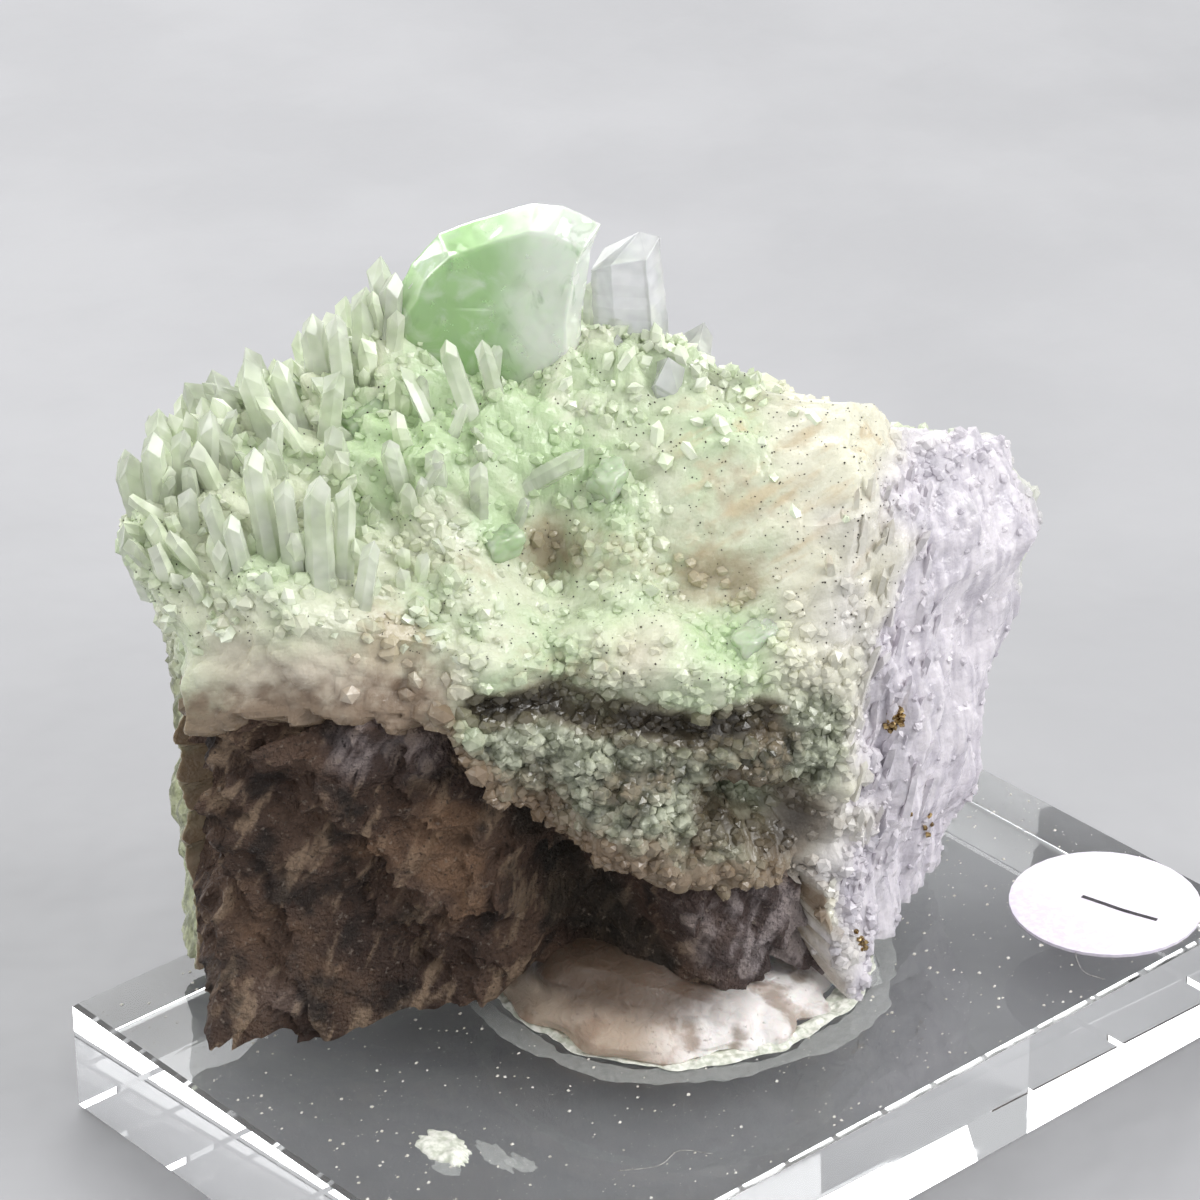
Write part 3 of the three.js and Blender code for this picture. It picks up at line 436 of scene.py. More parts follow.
def stone_skin(columns, levels, rise):
    """A closed skin of the stone: rings of points from belly to summit, moved outwards by rise."""
    column, level = np.meshgrid(columns, levels)
    p = stone_place(column, level)
    rows = outwards(p, rise(p, column)).reshape(-1, 3)
    poles = [outwards(q[None], rise(q[None], np.zeros(1))) for q in (BELLY, SUMMIT)]
    points = np.concatenate([poles[0], rows, poles[1]])
    around = np.concatenate([[0], column.ravel(), [0]])
    return points, around, grid_faces(len(levels), len(columns))


def crust_marks(p, column):
    """What the crust's finish reads at a point: how strongly each of its stains, and the painted shade of its
    grooves, shows there, from 0 to 1.
    """
    right, back, grey, apron, shoulder = zones(p, column)
    # Painted shade round the grooves, strongest along their lines.
    dark = np.zeros(p.shape[:-1])
    for path, radius, _, shade in GROOVES:
        dark = np.maximum(dark, shade * np.exp(-((near_path(p, path) / (1.7 * radius)) ** 2)))
    depth = crust_depth(p, column)
    above = np.maximum(depth / CRUST_STEEP, (depth - CRUST_EDGE) / CRUST_GROWTH)
    olive = smooth(np.mod(column, CORNERS), 12.4, 13.4) * (1 - smooth(p[..., 2], 34, 42))
    marks = {"green": GREEN_PATCHES, "tan": TAN_PATCHES, "pink": PINK_PATCHES, "murky": MURKY_PATCHES}
    marks = {name: patch(p, patches) for name, patches in marks.items()}
    return {**marks, "grey": np.clip(grey + 0.5 * back, 0, 1), "lilac": right, "streaked": shoulder,
            "dark": dark, "olive": olive, "cream": smooth(p[..., 0], 3, 10) * (1 - smooth(p[..., 1], 8, 14)),
            "thin": (1 - smooth(above, 0.3, 6.0)) * (1 - right)}


# Crystal shapes: each point is (across, aside, share of the length, widths back from there).
def prism_shape(sides=6, end=0.9, alternate=0.25, point=(0.1, 0.05), steps=1, taper=0.0):
    """A prism with a pyramid end. Every second shoulder lies lower, so its faces differ in size. Growth steps
    are rings that are wider and narrower by turns; the taper is what the width loses on the way up."""
    turn = np.arange(sides) / sides * 2 * math.pi
    ring = np.stack([np.cos(turn) / 2, np.sin(turn) / 2], axis=-1)
    share = np.arange(steps + 1) / steps
    wide = (1 - taper * share) * (1 - 0.035 * (np.arange(steps + 1) % 2) * (steps > 1))
    shoulder = end + alternate * (np.arange(sides) % 2)
    rings = [np.column_stack([ring * w, np.full(sides, t), t * shoulder]) for t, w in zip(share, wide)]
    points = np.concatenate(rings + [[[*point, 1, 0], [0, 0, 0, 0]]])
    i = np.arange(sides)
    n = (i + 1) % sides
    side = np.stack([i, n, sides + n, sides + i], axis=-1)
    quads = np.concatenate([side + sides * k for k in range(steps)])
    top = sides * steps
    ends = np.concatenate([np.stack([top + i, top + n, np.full(sides, top + sides)], axis=-1),
                           np.stack([n, i, np.full(sides, top + sides + 1)], axis=-1)])
    return points, quads, ends


def block_shape():
    """A six-faced block with a top smaller than its base."""
    low = [(-0.5, -0.5), (0.5, -0.42), (0.46, 0.5), (-0.4, 0.48)]
    points = np.array([(*q, 0, 0) for q in low] + [(x * 0.72 + 0.06, y * 0.7, 1, 0.12 * (k % 3)) for k, (x, y)
                                                   in enumerate(low)])
    quads = np.array([(3, 2, 1, 0), (4, 5, 6, 7), (0, 1, 5, 4), (1, 2, 6, 5), (2, 3, 7, 6), (3, 0, 4, 7)])
    return points, quads, np.zeros((0, 3), int)


def nugget_shape():
    """A twenty-faced crumb: the corners of three golden rectangles, joined to their nearest neighbours."""
    g = (1 + 5**0.5) / 2
    corners = np.array([(0, a, b * g) for a in (-1, 1) for b in (-1, 1)] + [(a, b * g, 0) for a in (-1, 1)
                       for b in (-1, 1)] + [(b * g, 0, a) for a in (-1, 1) for b in (-1, 1)])
    corners = corners / np.linalg.norm(corners[0]) / 2
    near = np.linalg.norm(corners[:, None] - corners[None], axis=-1) < 0.6
    triples = [(a, b, c) for a in range(12) for b in range(a + 1, 12) for c in range(b + 1, 12)
               if near[a, b] and near[b, c] and near[a, c]]
    turned = [(a, b, c) if np.linalg.det(corners[[a, b, c]]) > 0 else (a, c, b) for a, b, c in triples]
    points = np.column_stack([corners[:, :2], corners[:, 2] + 0.5, np.zeros(12)])
    return points, np.zeros((0, 4), int), np.array(turned)


def unit(v):
    """Vectors of length one: each is divided by its length."""
    return v / np.linalg.norm(v, axis=-1)[..., None]


def crystals(shape, roots, axes, lengths, widths, turns, thin=1.0):
    """One mesh of many crystals: each copy of the shape is set up on its root along its axis, turned about
    it and scaled to its own length and width. Returns points, faces and each point's crystal."""
    points, quads, triangles = shape
    count = len(roots)
    axes = unit(axes)
    helper = np.where(np.abs(axes[:, 2:]) < 0.9, np.array((0, 0, 1.0)), np.array((0, 1.0, 0)))
    right = unit(np.cross(helper, axes))
    front = np.cross(axes, right)
    thin = np.broadcast_to(thin, count)
    c, s = np.cos(turns)[:, None], np.sin(turns)[:, None]
    x = (points[:, 0] * c - points[:, 1] * s) * widths[:, None]
    y = (points[:, 0] * s + points[:, 1] * c) * (widths * thin)[:, None]
    z = points[:, 2] * lengths[:, None] - points[:, 3] * widths[:, None]
    placed = roots[:, None]
    for far, way in ((x, right), (y, front), (z, axes)):
        placed = placed + far[..., None] * way[:, None]
    shift = (np.arange(count) * len(points))[:, None, None]
    faces = [(quads[None] + shift).reshape(-1, 4), (triangles[None] + shift).reshape(-1, 3)]
    return placed.reshape(-1, 3), [f for f in faces if len(f)], np.repeat(np.arange(count), len(points))


def joined(meshes):
    """Several meshes as one: their points in a row, with faces counted on from each mesh's first point."""
    starts = np.cumsum([0] + [len(p) for p, _, _ in meshes])
    faces = [k + start for (_, f, _), start in zip(meshes, starts) for k in f]
    return np.concatenate([p for p, _, _ in meshes]), faces


def scattered(seed, count, columns, levels, keep):
    """Random places on the crust: column, skin point and outward normal. keep(p, column) is the
    chance from 0 to 1 that a place stays. The normal is the cross product of two small steps."""
    rng = np.random.default_rng(seed)
    column = rng.uniform(*columns, count)
    level = rng.uniform(*levels, count)
    p = crust_skin(column, level)
    chosen = rng.random(count) < keep(p, column)
    column, level, p = column[chosen], level[chosen], p[chosen]
    around = crust_skin(column + 0.05, level) - crust_skin(column - 0.05, level)
    upwards = crust_skin(column, level + 0.05) - crust_skin(column, level - 0.05)
    normal = np.cross(around, upwards)
    normal /= np.linalg.norm(normal, axis=1)[:, None] + 1e-9
    return rng, column, p, normal


def grains(seed, count, columns, levels, shape, tall, wide, sink, spread, keep,
           lean=(0, 0, 0)):
    """Crystals of one shape scattered over the crust. Length and width vary between the two given values,
    spread leans each away from the normal at random, and sink is the share of its length in the crust."""
    rng, column, p, normal = scattered(seed, count, columns, levels, keep)
    n = len(p)
    axes = unit(normal + rng.normal(0, spread, (n, 3)) + np.array(lean))
    skew = rng.random(n) ** 1.8
    lengths = tall[0] + (tall[1] - tall[0]) * skew
    widths = wide[0] + (wide[1] - wide[0]) * (0.6 * skew + 0.4 * rng.random(n))
    roots = p - axes * (lengths * sink)[:, None]
    points, faces, owner = crystals(shape, roots, axes, lengths, widths, rng.uniform(0, 6.28, n),
                                    rng.uniform(0.7, 1, n))
    points += rng.normal(0, 0.03, points.shape) * widths[owner][:, None]
    marks = {name: value[owner] for name, value in crust_marks(p, column).items()}
    return points, faces, marks


# Finishes
def tone(red, green, blue):
    """A colour from the 0 to 255 scale of a screen, as the linear values that a shader takes."""
    screen = np.array((red, green, blue)) / 255
    linear = np.where(screen <= 0.04045, screen / 12.92, ((screen + 0.055) / 1.055) ** 2.4)
    return (*linear, 1.0)


class Finish:
    """A material and its pattern. Patterns read Object coordinates, turned to the specimen's frame and
    counted in millimetres."""

    def __init__(self, name, **values):
        self.material = bpy.data.materials.new(name)
        self.material.use_nodes = True
        self.tree = self.material.node_tree
        self.shader = self.tree.nodes["Principled BSDF"]
        self.object = self.add("ShaderNodeTexCoord").outputs["Object"]
        for socket, value in values.items():
            self.set(socket.replace("_", " "), value)

    def add(self, kind, **settings):
        node = self.tree.nodes.new(kind)
        for key, value in settings.items():
            setattr(node, key, value)
        return node

    def feed(self, socket, value):
        if isinstance(value, bpy.types.NodeSocket):
            self.tree.links.new(value, socket)
        else:
            socket.default_value = value

    def set(self, socket, value):
        self.feed(self.shader.inputs[socket], value)

    def place(self, stretch=(1, 1, 1), turn=(0, 0, 0)):
        """Object coordinates in specimen millimetres, turned and then multiplied by the stretch."""
        flat = self.add("ShaderNodeMapping")
        self.feed(flat.inputs["Vector"], self.object)
        flat.inputs["Scale"].default_value = (1 / MM,) * 3
        flat.inputs["Rotation"].default_value = (0, 0, -SPECIMEN_TURN)
        turned = self.add("ShaderNodeMapping")
        self.feed(turned.inputs["Vector"], flat.outputs[0])
        turned.inputs["Rotation"].default_value = turn
        scaled = self.add("ShaderNodeVectorMath", operation="MULTIPLY")
        self.feed(scaled.inputs[0], turned.outputs[0])
        scaled.inputs[1].default_value = stretch
        return scaled.outputs[0]

    def clouds(self, size, detail=3.0, place=None, distortion=0.0, roughness=0.5):
        """Noise from 0 to 1 with clouds of the given size in mm."""
        node = self.add("ShaderNodeTexNoise")
        self.feed(node.inputs["Vector"], place or self.place())
        for socket, value in (("Scale", 1 / size), ("Detail", detail), ("Distortion", distortion),
                              ("Roughness", roughness)):
            node.inputs[socket].default_value = value
        return node.outputs["Fac"]

    def cells(self, size):
        """Cells round scattered points, each with a random value."""
        node = self.add("ShaderNodeTexVoronoi")
        self.feed(node.inputs["Vector"], self.place())
        node.inputs["Scale"].default_value = 1 / size
        return node.outputs["Color"]

    def axis(self, k):
        """One coordinate of the place in mm."""
        node = self.add("ShaderNodeSeparateXYZ")
        self.feed(node.inputs[0], self.place())
        return node.outputs[k]

    def mark(self, name):
        return self.add("ShaderNodeAttribute", attribute_name=name).outputs["Fac"]

    def band(self, value, low, high, start=0.0, end=1.0):
        node = self.add("ShaderNodeMapRange", interpolation_type="SMOOTHSTEP")
        for socket, given in zip(node.inputs, (value, low, high, start, end)):
            self.feed(socket, given)
        return node.outputs[0]

    def sum(self, a, b, operation="ADD"):
        node = self.add("ShaderNodeMath", operation=operation)
        self.feed(node.inputs[0], a)
        self.feed(node.inputs[1], b)
        return node.outputs[0]

    def blend(self, share, a, b):
        node = self.add("ShaderNodeMix", data_type="RGBA")
        self.feed(node.inputs[0], share)
        self.feed(node.inputs[6], a)
        self.feed(node.inputs[7], b)
        return node.outputs[2]

    def ragged(self, name, cloud, much=1.0):
        """A mark whose border is broken up: the mark plus much times the cloud less a half."""
        return self.sum(self.mark(name), self.sum(self.sum(cloud, 0.5, "SUBTRACT"), much, "MULTIPLY"))

    def mottle(self, cloud, low, high, a, b, most=1.0):
        """Two colours: a where the cloud is below low, and b by up to most where it is above high."""
        a, b = (c if isinstance(c, bpy.types.NodeSocket) or len(c) == 4 else tone(*c) for c in (a, b))
        return self.blend(self.band(cloud, low, high, 0, most), a, b)

    def stain(self, colour, cloud, low, high, most, paint):
        """A colour with paint over it, by up to most where the cloud is above high."""
        return self.mottle(cloud, low, high, colour, paint, most)

    def relief(self, height, depth, strength=1.0):
        """Bump of a height from 0 to 1, depth in mm."""
        node = self.add("ShaderNodeBump")
        node.inputs["Strength"].default_value = strength
        node.inputs["Distance"].default_value = depth * MM
        self.feed(node.inputs["Height"], height)
        return node.outputs[0]


def crust_finish(name, soft=0.0, rough=(0.16, 0.5)):
    """Waxy sugary crust: pale cream green, stained as the marks say, brown where it is thin, darkened by
    painted shade in its grooves and finely grained."""
    f = Finish(name, Subsurface_Weight=soft, Subsurface_Scale=1.1 * MM, Subsurface_Radius=(1.0, 1.0, 0.9),
               IOR=1.55)
    small = f.clouds(1.1, 4)
    colour = f.mottle(f.clouds(5.0, 3), 0.35, 0.65, (208, 212, 188), (192, 206, 172))
    colour = f.stain(colour, f.ragged("green", small), 0.15, 0.75, 0.95, (182, 203, 160))
    colour = f.stain(colour, f.ragged("tan", small), 0.2, 0.9, 0.85, (178, 164, 136))
    colour = f.stain(colour, f.mark("pink"), 0.1, 0.8, 0.8, (216, 202, 186))
    colour = f.stain(colour, f.mark("cream"), 0, 1, 0.85, (219, 215, 197))
    olive = f.mottle(small, 0.4, 0.6, (96, 98, 70), (160, 164, 128))
    colour = f.stain(colour, f.mark("olive"), 0.1, 0.9, 0.9, olive)
    slanted = f.band(f.clouds(1.5, 4, f.place((0.25, 1, 1), (0, 0.62, 0))), 0.48, 0.68)
    streaks = f.sum(f.sum(f.mark("streaked"), slanted, "MULTIPLY"), 0.7, "MULTIPLY")
    colour = f.blend(streaks, colour, tone(198, 180, 146))
    lilac = f.mottle(f.clouds(1.0, 4, f.place((1, 1, 0.15))), 0.35, 0.62, (190, 185, 193), (220, 215, 220))
    lilac = f.stain(lilac, f.clouds(3.0, 4), 0.52, 0.72, 0.6, (170, 167, 174))
    colour = f.blend(f.mark("lilac"), colour, lilac)
    grey = f.mottle(small, 0.35, 0.65, (120, 124, 104), (196, 200, 178))
    grey = f.stain(grey, f.clouds(2.4, 3), 0.5, 0.68, 0.8, (74, 76, 62))
    murky = f.mottle(small, 0.4, 0.6, (66, 62, 48), (118, 104, 84))
    grey = f.stain(grey, f.mark("murky"), 0.2, 0.9, 0.9, murky)
    colour = f.stain(colour, f.mark("grey"), 0.25, 0.8, 1, grey)
    colour = f.stain(colour, f.ragged("thin", small, 0.8), 0.05, 1.0, 0.92, (126, 106, 86))
    # Painted shade in the grooves: brown round them and nearly black in them.
    colour = f.stain(colour, f.mark("dark"), 0.1, 0.6, 0.75, (96, 80, 60))
    colour = f.stain(colour, f.mark("dark"), 0.4, 0.95, 0.9, (40, 32, 25))
    f.set("Base Color", colour)
    f.set("Roughness", f.band(f.clouds(0.9, 3), 0.35, 0.65, *rough))
    f.set("Normal", f.relief(f.sum(f.cells(0.8), f.sum(f.clouds(0.4, 3), 0.6, "MULTIPLY")), 0.2, 0.7))
    return f.material


def rock_finish():
    """Broken brown rock: dark and grey-lilac areas with slanting fibres whose pale streaks carry painted
    highlight, rust stains, purple grey lightened as painted light on the right lobe, painted shade in the
    valley, and fine pale and dark specks."""
    f = Finish("host_rock", IOR=1.5)
    slanted = f.clouds(1.6, 6, f.place((1, 1, 0.3), (0, -0.5, 0)), 0.4)
    colour = f.mottle(f.clouds(7.0, 4, distortion=0.3), 0.35, 0.62, (64, 44, 33), (102, 79, 64))
    # Pale slanted streaks: tan fibres lightened as painted highlight.
    colour = f.stain(colour, slanted, 0.5, 0.64, 0.85, (160, 136, 112))
    colour = f.stain(colour, f.clouds(3.2, 5), 0.5, 0.66, 0.85, (38, 27, 20))
    colour = f.stain(colour, f.ragged("rust", f.clouds(2.0, 5)), 0.25, 0.8, 0.65, (152, 118, 90))
    # Purple grey, whose lighter tone stands in part for painted light on the right lobe's lit face.
    purple = f.mottle(slanted, 0.42, 0.6, (92, 78, 76), (176, 164, 164))
    colour = f.stain(colour, f.mark("purple"), 0.2, 0.8, 0.8, purple)
    # Painted shade on the valley wall, from the shade mark.
    colour = f.stain(colour, f.mark("shade"), 0.3, 0.9, 0.85, (44, 39, 30))
    colour = f.stain(colour, f.clouds(0.5, 3), 0.62, 0.74, 0.55, (160, 146, 132))
    colour = f.stain(colour, f.clouds(0.35, 3), 0.62, 0.72, 0.7, (30, 24, 20))
    f.set("Base Color", colour)
    f.set("Roughness", f.band(f.clouds(0.7, 3), 0.3, 0.7, 0.38, 0.8))
    fine = f.sum(f.clouds(0.9, 8, f.place((1, 1, 0.4), (0, -0.5, 0)), 0.2, 0.7), f.clouds(0.3, 3))
    f.set("Normal", f.relief(fine, 1.1, 1.0))
    return f.material


def quartz_finish(name, milk, light, dark):
    """Quartz, part clear and part milky, with faint veils."""
    f = Finish(name, IOR=1.544)
    f.set("Transmission Weight", f.band(f.clouds(3.0, 2), 0.35, 0.65, 1 - 1.15 * milk, 1 - 0.75 * milk))
    f.set("Base Color", f.blend(f.band(f.clouds(2.4, 4), 0.35, 0.7), light, dark))
    f.set("Roughness", f.band(f.clouds(1.2, 3), 0.45, 0.75, 0.02, 0.2))
    return f.material


def augelite_finish(name, pale, deep):
    """Glassy pale green crystal, greener to the left and whiter to the right, with a few veils."""
    f = Finish(name, IOR=1.58, Transmission_Weight=0.35, Subsurface_Weight=0.6,
               Subsurface_Scale=1.6 * MM, Subsurface_Radius=(0.7, 1.0, 0.6))
    across = f.sum(f.axis(0), f.sum(f.clouds(4.0, 3), 7.0, "MULTIPLY"))
    colour = f.mottle(across, -11.5, -5.0, deep, pale)
    colour = f.stain(colour, f.clouds(2.6, 5, distortion=0.6), 0.5, 0.72, 0.75, (224, 236, 216))
    colour = f.stain(colour, f.clouds(1.5, 5, f.place((1, 1, 0.5)), 0.8), 0.58, 0.72, 0.5, (150, 174, 138))
    f.set("Base Color", colour)
    f.set("Roughness", f.band(f.clouds(1.6, 4), 0.4, 0.7, 0.06, 0.3))
    return f.material


def putty_finish():
    """Kneaded putty: beige and waxy to the left, where painted shade darkens it too, white to the right, with
    brown stains, creases and a painted shadow of the rock darkening its top.
    """
    f = Finish("putty_white", Subsurface_Weight=0.15, Subsurface_Scale=1.0 * MM, IOR=1.48)
    # Beige to the left and white to the right; the beige side also carries painted shade, away from the key
    # lamp.
    colour = f.mottle(f.axis(0), -4.0, 3.0, (178, 160, 142), (234, 229, 226))
    colour = f.stain(colour, f.clouds(2.6, 5), 0.46, 0.64, 0.7, (140, 116, 96))
    # Painted shadow of the rock over the putty: darker towards its top.
    colour = f.stain(colour, f.sum(f.axis(2), f.clouds(2.0, 4)), 11.8, 13.9, 0.9, (74, 58, 46))
    colour = f.stain(colour, f.clouds(0.6, 4), 0.62, 0.75, 0.6, (110, 96, 84))
    f.set("Base Color", colour)
    f.set("Roughness", f.band(f.clouds(1.5, 3), 0.3, 0.7, 0.35, 0.65))
    f.set("Normal", f.relief(f.clouds(0.8, 6, distortion=0.6), 0.3, 0.6))
    return f.material


def acrylic_finish():
    """Clear polished plastic, a little dull in places."""
    f = Finish("clear_acrylic", IOR=1.49, Transmission_Weight=1.0, Base_Color=(0.985, 0.995, 0.995, 1))
    f.set("Roughness", f.band(f.clouds(9.0, 6), 0.5, 0.8, 0.0, 0.05))
    return f.material


def paper_finish():
    """Matt white paper with a faint tooth."""
    f = Finish("paper_white", Roughness=0.75)
    f.set("Base Color", f.mottle(f.clouds(0.5, 5), 0.35, 0.65, (222, 214, 228), (234, 228, 238)))
    f.set("Normal", f.relief(f.clouds(0.2, 4), 0.03, 0.5))
    return f.material


def plain_finish(name, dark, light, size, rough=(0.4, 0.7), **values):
    """Two tones mixed in clouds of the given size, for the small pieces."""
    f = Finish(name, **values)
    f.set("Base Color", f.blend(f.band(f.clouds(size, 4), 0.35, 0.65), dark, light))
    f.set("Roughness", f.band(f.clouds(size * 2, 3), 0.3, 0.7, *rough))
    f.set("Normal", f.relief(f.clouds(size, 4), size * 0.15, 0.6))
    return f.material


# The stone: rock and crust are two closed skins, each sunk into the other where it doesn't show.
COLUMNS = spaced([(0, 190), (6.05, 110), (8.6, 40), (9.5, 75), (13.0, 35), (14, 0)])
CRUST_LEVELS = spaced([(-0.9, 3), (0, 4), (1, 26), (2, 40), (3, 44), (4, 42), (5, 38), (6, 22), (6.97, 0)])
ROCK_LEVELS = spaced([(-0.9, 10), (0, 12), (1, 52), (2, 66), (3, 36), (4, 16), (5, 8), (6, 5), (6.97, 0)])


# Colour patches on the rock: (x, y, z, radius, strength).
RUST_PATCHES = [
    (-16.5, -12.6, 29, 2.6, 1), (-15.8, -12.5, 25, 2.2, 0.9), (-15, -12.4, 21.5, 1.8, 0.8),
    (-22, -13.5, 27, 3, 0.6), (-31, -14.5, 22, 4, 0.5), (-25, -14, 17, 4, 0.4),
    (-18, -12.8, 25, 1.6, 0.7), (-17, -13, 20.5, 1.4, 0.7), (3, -9.5, 18, 2, 0.8), (-28, -14, 33, 3, 0.3)]
# Purple grey patches; on the right lobe's face their lighter tone is also painted light.
PURPLE_PATCHES = [
    (6, -9, 17.5, 5, 1), (9, -7, 14, 5, 1), (1, -10, 21, 3, 0.5), (-23, -13.5, 35.5, 3, 0.7),
    (-18, -13, 35, 3, 0.6), (-29, -14, 15, 4, 0.4)]
# Painted shade on the valley wall, where the key lamp does not reach: (x, y, z, radius, strength).
SHADE_PATCHES = [
    (-12.5, -12, 31.5, 1.6, 0.8), (-10.7, -9.7, 27.6, 2.2, 1), (-8.6, -7.5, 23.5, 2.6, 1),
    (-5.6, -7.5, 20, 2.6, 1), (-3.4, -7.5, 17, 2.6, 1), (-1, -8.2, 14.6, 2.2, 1),
    (-6.4, -7, 16.3, 2.4, 0.8), (-8.6, -7.4, 19.3, 2.4, 0.8), (-34.5, -15, 33, 2.5, 0.5)]


def rock_marks(p, column):
    """What the rock's finish reads at a point. Rust runs down beside the valley, the right lobe's face is
    purple grey lightened as painted light, a band below the crust on the left is purple grey too, and the
    valley wall gets painted shade."""
    x = p[..., 0]
    band = smooth(crust_depth(p, column), -1.7, -0.4) * smooth(x, -26, -21) * (1 - smooth(x, -12, -8))
    purple = np.maximum(patch(p, PURPLE_PATCHES), 0.9 * band)
    return {"rust": patch(p, RUST_PATCHES), "purple": purple, "shade": patch(p, SHADE_PATCHES)}


points, around, faces = stone_skin(COLUMNS, ROCK_LEVELS, rock_rise)
add_piece("rock_matrix", to_frame(points), faces, rock_finish(), ("host_rock",), False,
          rock_marks(points, around))
points, around, faces = stone_skin(COLUMNS, CRUST_LEVELS, crust_rise)
crust_wax = crust_finish("crust_wax", 0.45)
add_piece("crust_skin", to_frame(points), faces, crust_wax, ("crystal_crust",), False,
          crust_marks(points, around))


# Grains and small crystals of the crust
def bare_of_rock(p, column):
    """1 where crust shows and 0 where rock does."""
    return (crust_depth(p, column) > 0.1).astype(float)


def add_grains(name, finish, slot, *options):
    """One piece of scattered grains; the options are those of grains()."""
    points, faces, marks = grains(*options)
    add_piece(name, to_frame(points), faces, finish, marks=marks)


def crumbly(p, column):
    """Chance of a grain: high in the grey band, round the hollows and low at the front edge, and small on
    the apron and the shoulder."""
    right, back, grey, apron, shoulder = zones(p, column)
    chance = 0.04 + 0.4 * grey + 0.16 * patch(p, TAN_PATCHES) - 0.1 * apron - 0.14 * shoulder + 0.02 * right
    chance += 0.35 * beside(column, 6.1, 0.4) * (1 - smooth(p[..., 2], 20, 30))
    chance += 0.12 * patch(p, DRUSE_PATCHES) + 0.12 * patch(p, GREEN_PATCHES)
    return bare_of_rock(p, column) * np.clip(chance, 0, 1)


crumb = crust_finish("crust_grain", 0.0, (0.08, 0.3))
POINT_SHAPE = prism_shape(6, 0.4, 0.45, (0.2, 0.08), 3, 0.1)
SHORT_SHAPE = prism_shape(5, 0.5, 0.3)
NUGGET = nugget_shape()
for name, *scatter in [
        ("front", 101, 9000, (2.0, 6.5), (1.0, 4.9), NUGGET, (0.5, 1.7), (0.6, 1.7), 0.62, 0.45),
        ("left", 102, 5000, (-1.6, 2.4), (3.0, 5.0), NUGGET, (0.6, 2.2), (0.7, 2.2), 0.65, 0.5),
        ("top", 103, 9000, (-2.8, 8.0), (4.8, 6.9), NUGGET, (0.5, 1.8), (0.6, 1.6), 0.6, 0.5),
        ("right", 104, 6000, (6.1, 9.2), (1.0, 5.6), NUGGET, (0.4, 1.4), (0.4, 1.2), 0.68, 0.4),
        ("back", 105, 5000, (9.0, 13.2), (3.0, 6.0), NUGGET, (0.7, 1.9), (0.7, 1.8), 0.62, 0.5)]:
    add_grains(f"sugar_grains_{name}", crumb, "crystal_crust", *scatter, crumbly)


def on_edge(p, column):
    """Splinters crowd along the edge between the front and the right face."""
    return bare_of_rock(p, column) * beside(column, 6.5, 0.5)


SPLINTER = prism_shape(4, 0.5, 0.4, (0.1, 0.2), 2, 0.3)
add_grains("splinters_right", crumb, "crystal_crust", 106, 420, (5.7, 8.6), (1.6, 5.2), SPLINTER, (1.4, 4.4),
           (0.35, 1.2), 0.45, 0.25, on_edge, (0, 0, 3))

clear_quartz = quartz_finish("quartz_clear", 0.52, tone(247, 251, 238), tone(232, 241, 216))
milky_quartz = quartz_finish("quartz_milky", 0.84, tone(242, 247, 228), tone(224, 235, 204))
spire_quartz = quartz_finish("quartz_spire_clear", 0.45, tone(253, 253, 253), tone(236, 237, 240))


def left_top(p, column):
    """Quartz points are thick on the left, thinner towards the right shoulder."""
    return bare_of_rock(p, column) * (1 - 0.97 * smooth(p[..., 0], -15, -6)) * smooth(p[..., 0], -38.5, -35.5)


def near_spire(p, column):
    """Chance of a point: it falls off as a bell round the spire's foot."""
    return np.exp(-np.sum((p - np.array((-1, 6, 55))) ** 2, axis=-1) / 40) * bare_of_rock(p, column)


for name, finish, *scatter in [
        ("needles_left", milky_quartz, 201, 190, (-2.4, 2.2), (4.4, 6.4), POINT_SHAPE, (2.2, 6.6), (0.9, 2.0),
         0.35, 0.28, left_top, (-0.1, -0.2, 1.5)),
        ("needles_top", clear_quartz, 202, 130, (-2.4, 5.0), (4.6, 6.9), POINT_SHAPE, (2.0, 6.4), (0.6, 1.4),
         0.35, 0.3, left_top, (-0.1, -0.1, 1.0)),
        ("points_small", milky_quartz, 203, 620, (-2.8, 6.0), (3.9, 6.6), SHORT_SHAPE, (0.7, 2.2), (0.5, 1.2),
         0.45, 0.45, left_top),
        ("points_spire", milky_quartz, 204, 900, (1.5, 9.0), (5.0, 6.95), SHORT_SHAPE, (0.8, 2.4), (0.6, 1.4),
         0.35, 0.5, near_spire)]:
    add_grains(f"quartz_{name}", finish, "quartz", *scatter)


# Standing crystals
def standing(name, rows, finish):
    """The named crystals of one spray: each a striated prism with its own pyramid end."""
    meshes = []
    for k, (root, tip, width, turn, *rest) in enumerate(rows):
        thin, end, slant = rest + [1, 0.9, 0][len(rest):]
        thin *= 0.7 if k % 3 == 1 else 1
        root, way = np.array([root], float), np.array([tip], float) - root
        shape = prism_shape(6, end * (0.8 if slant else 0.5), 0.1 if slant else 0.45,
                            (0.2 if slant else 0.14, 0.08 * (-1) ** k), 12, 0.12)
        if slant:
            shape[0][-8:-2, 3] -= slant * shape[0][-8:-2, 0]
        length = np.linalg.norm(way, axis=1)
        meshes.append(crystals(shape, root, way, length, np.array([width]), np.array([turn]), thin))
    points, faces = joined(meshes)
    solid = name.replace("crystals_", "quartz_")
    piece = add_piece(name, to_frame(points), faces, finish, (solid,))
    edge = piece.modifiers.new("edges", "BEVEL")
    edge.width, edge.segments = 0.04 * MM, 1


standing("crystals_spire", SPIRE, spire_quartz)
for name, rows in (("spray_left", LEFT_SPRAY), ("spray_front", FRONT_SPRAY), ("spray_crest", CREST_SPRAY),
                   ("blades", MIDDLE_BLADES)):
    standing("crystals_" + name, rows, clear_quartz)


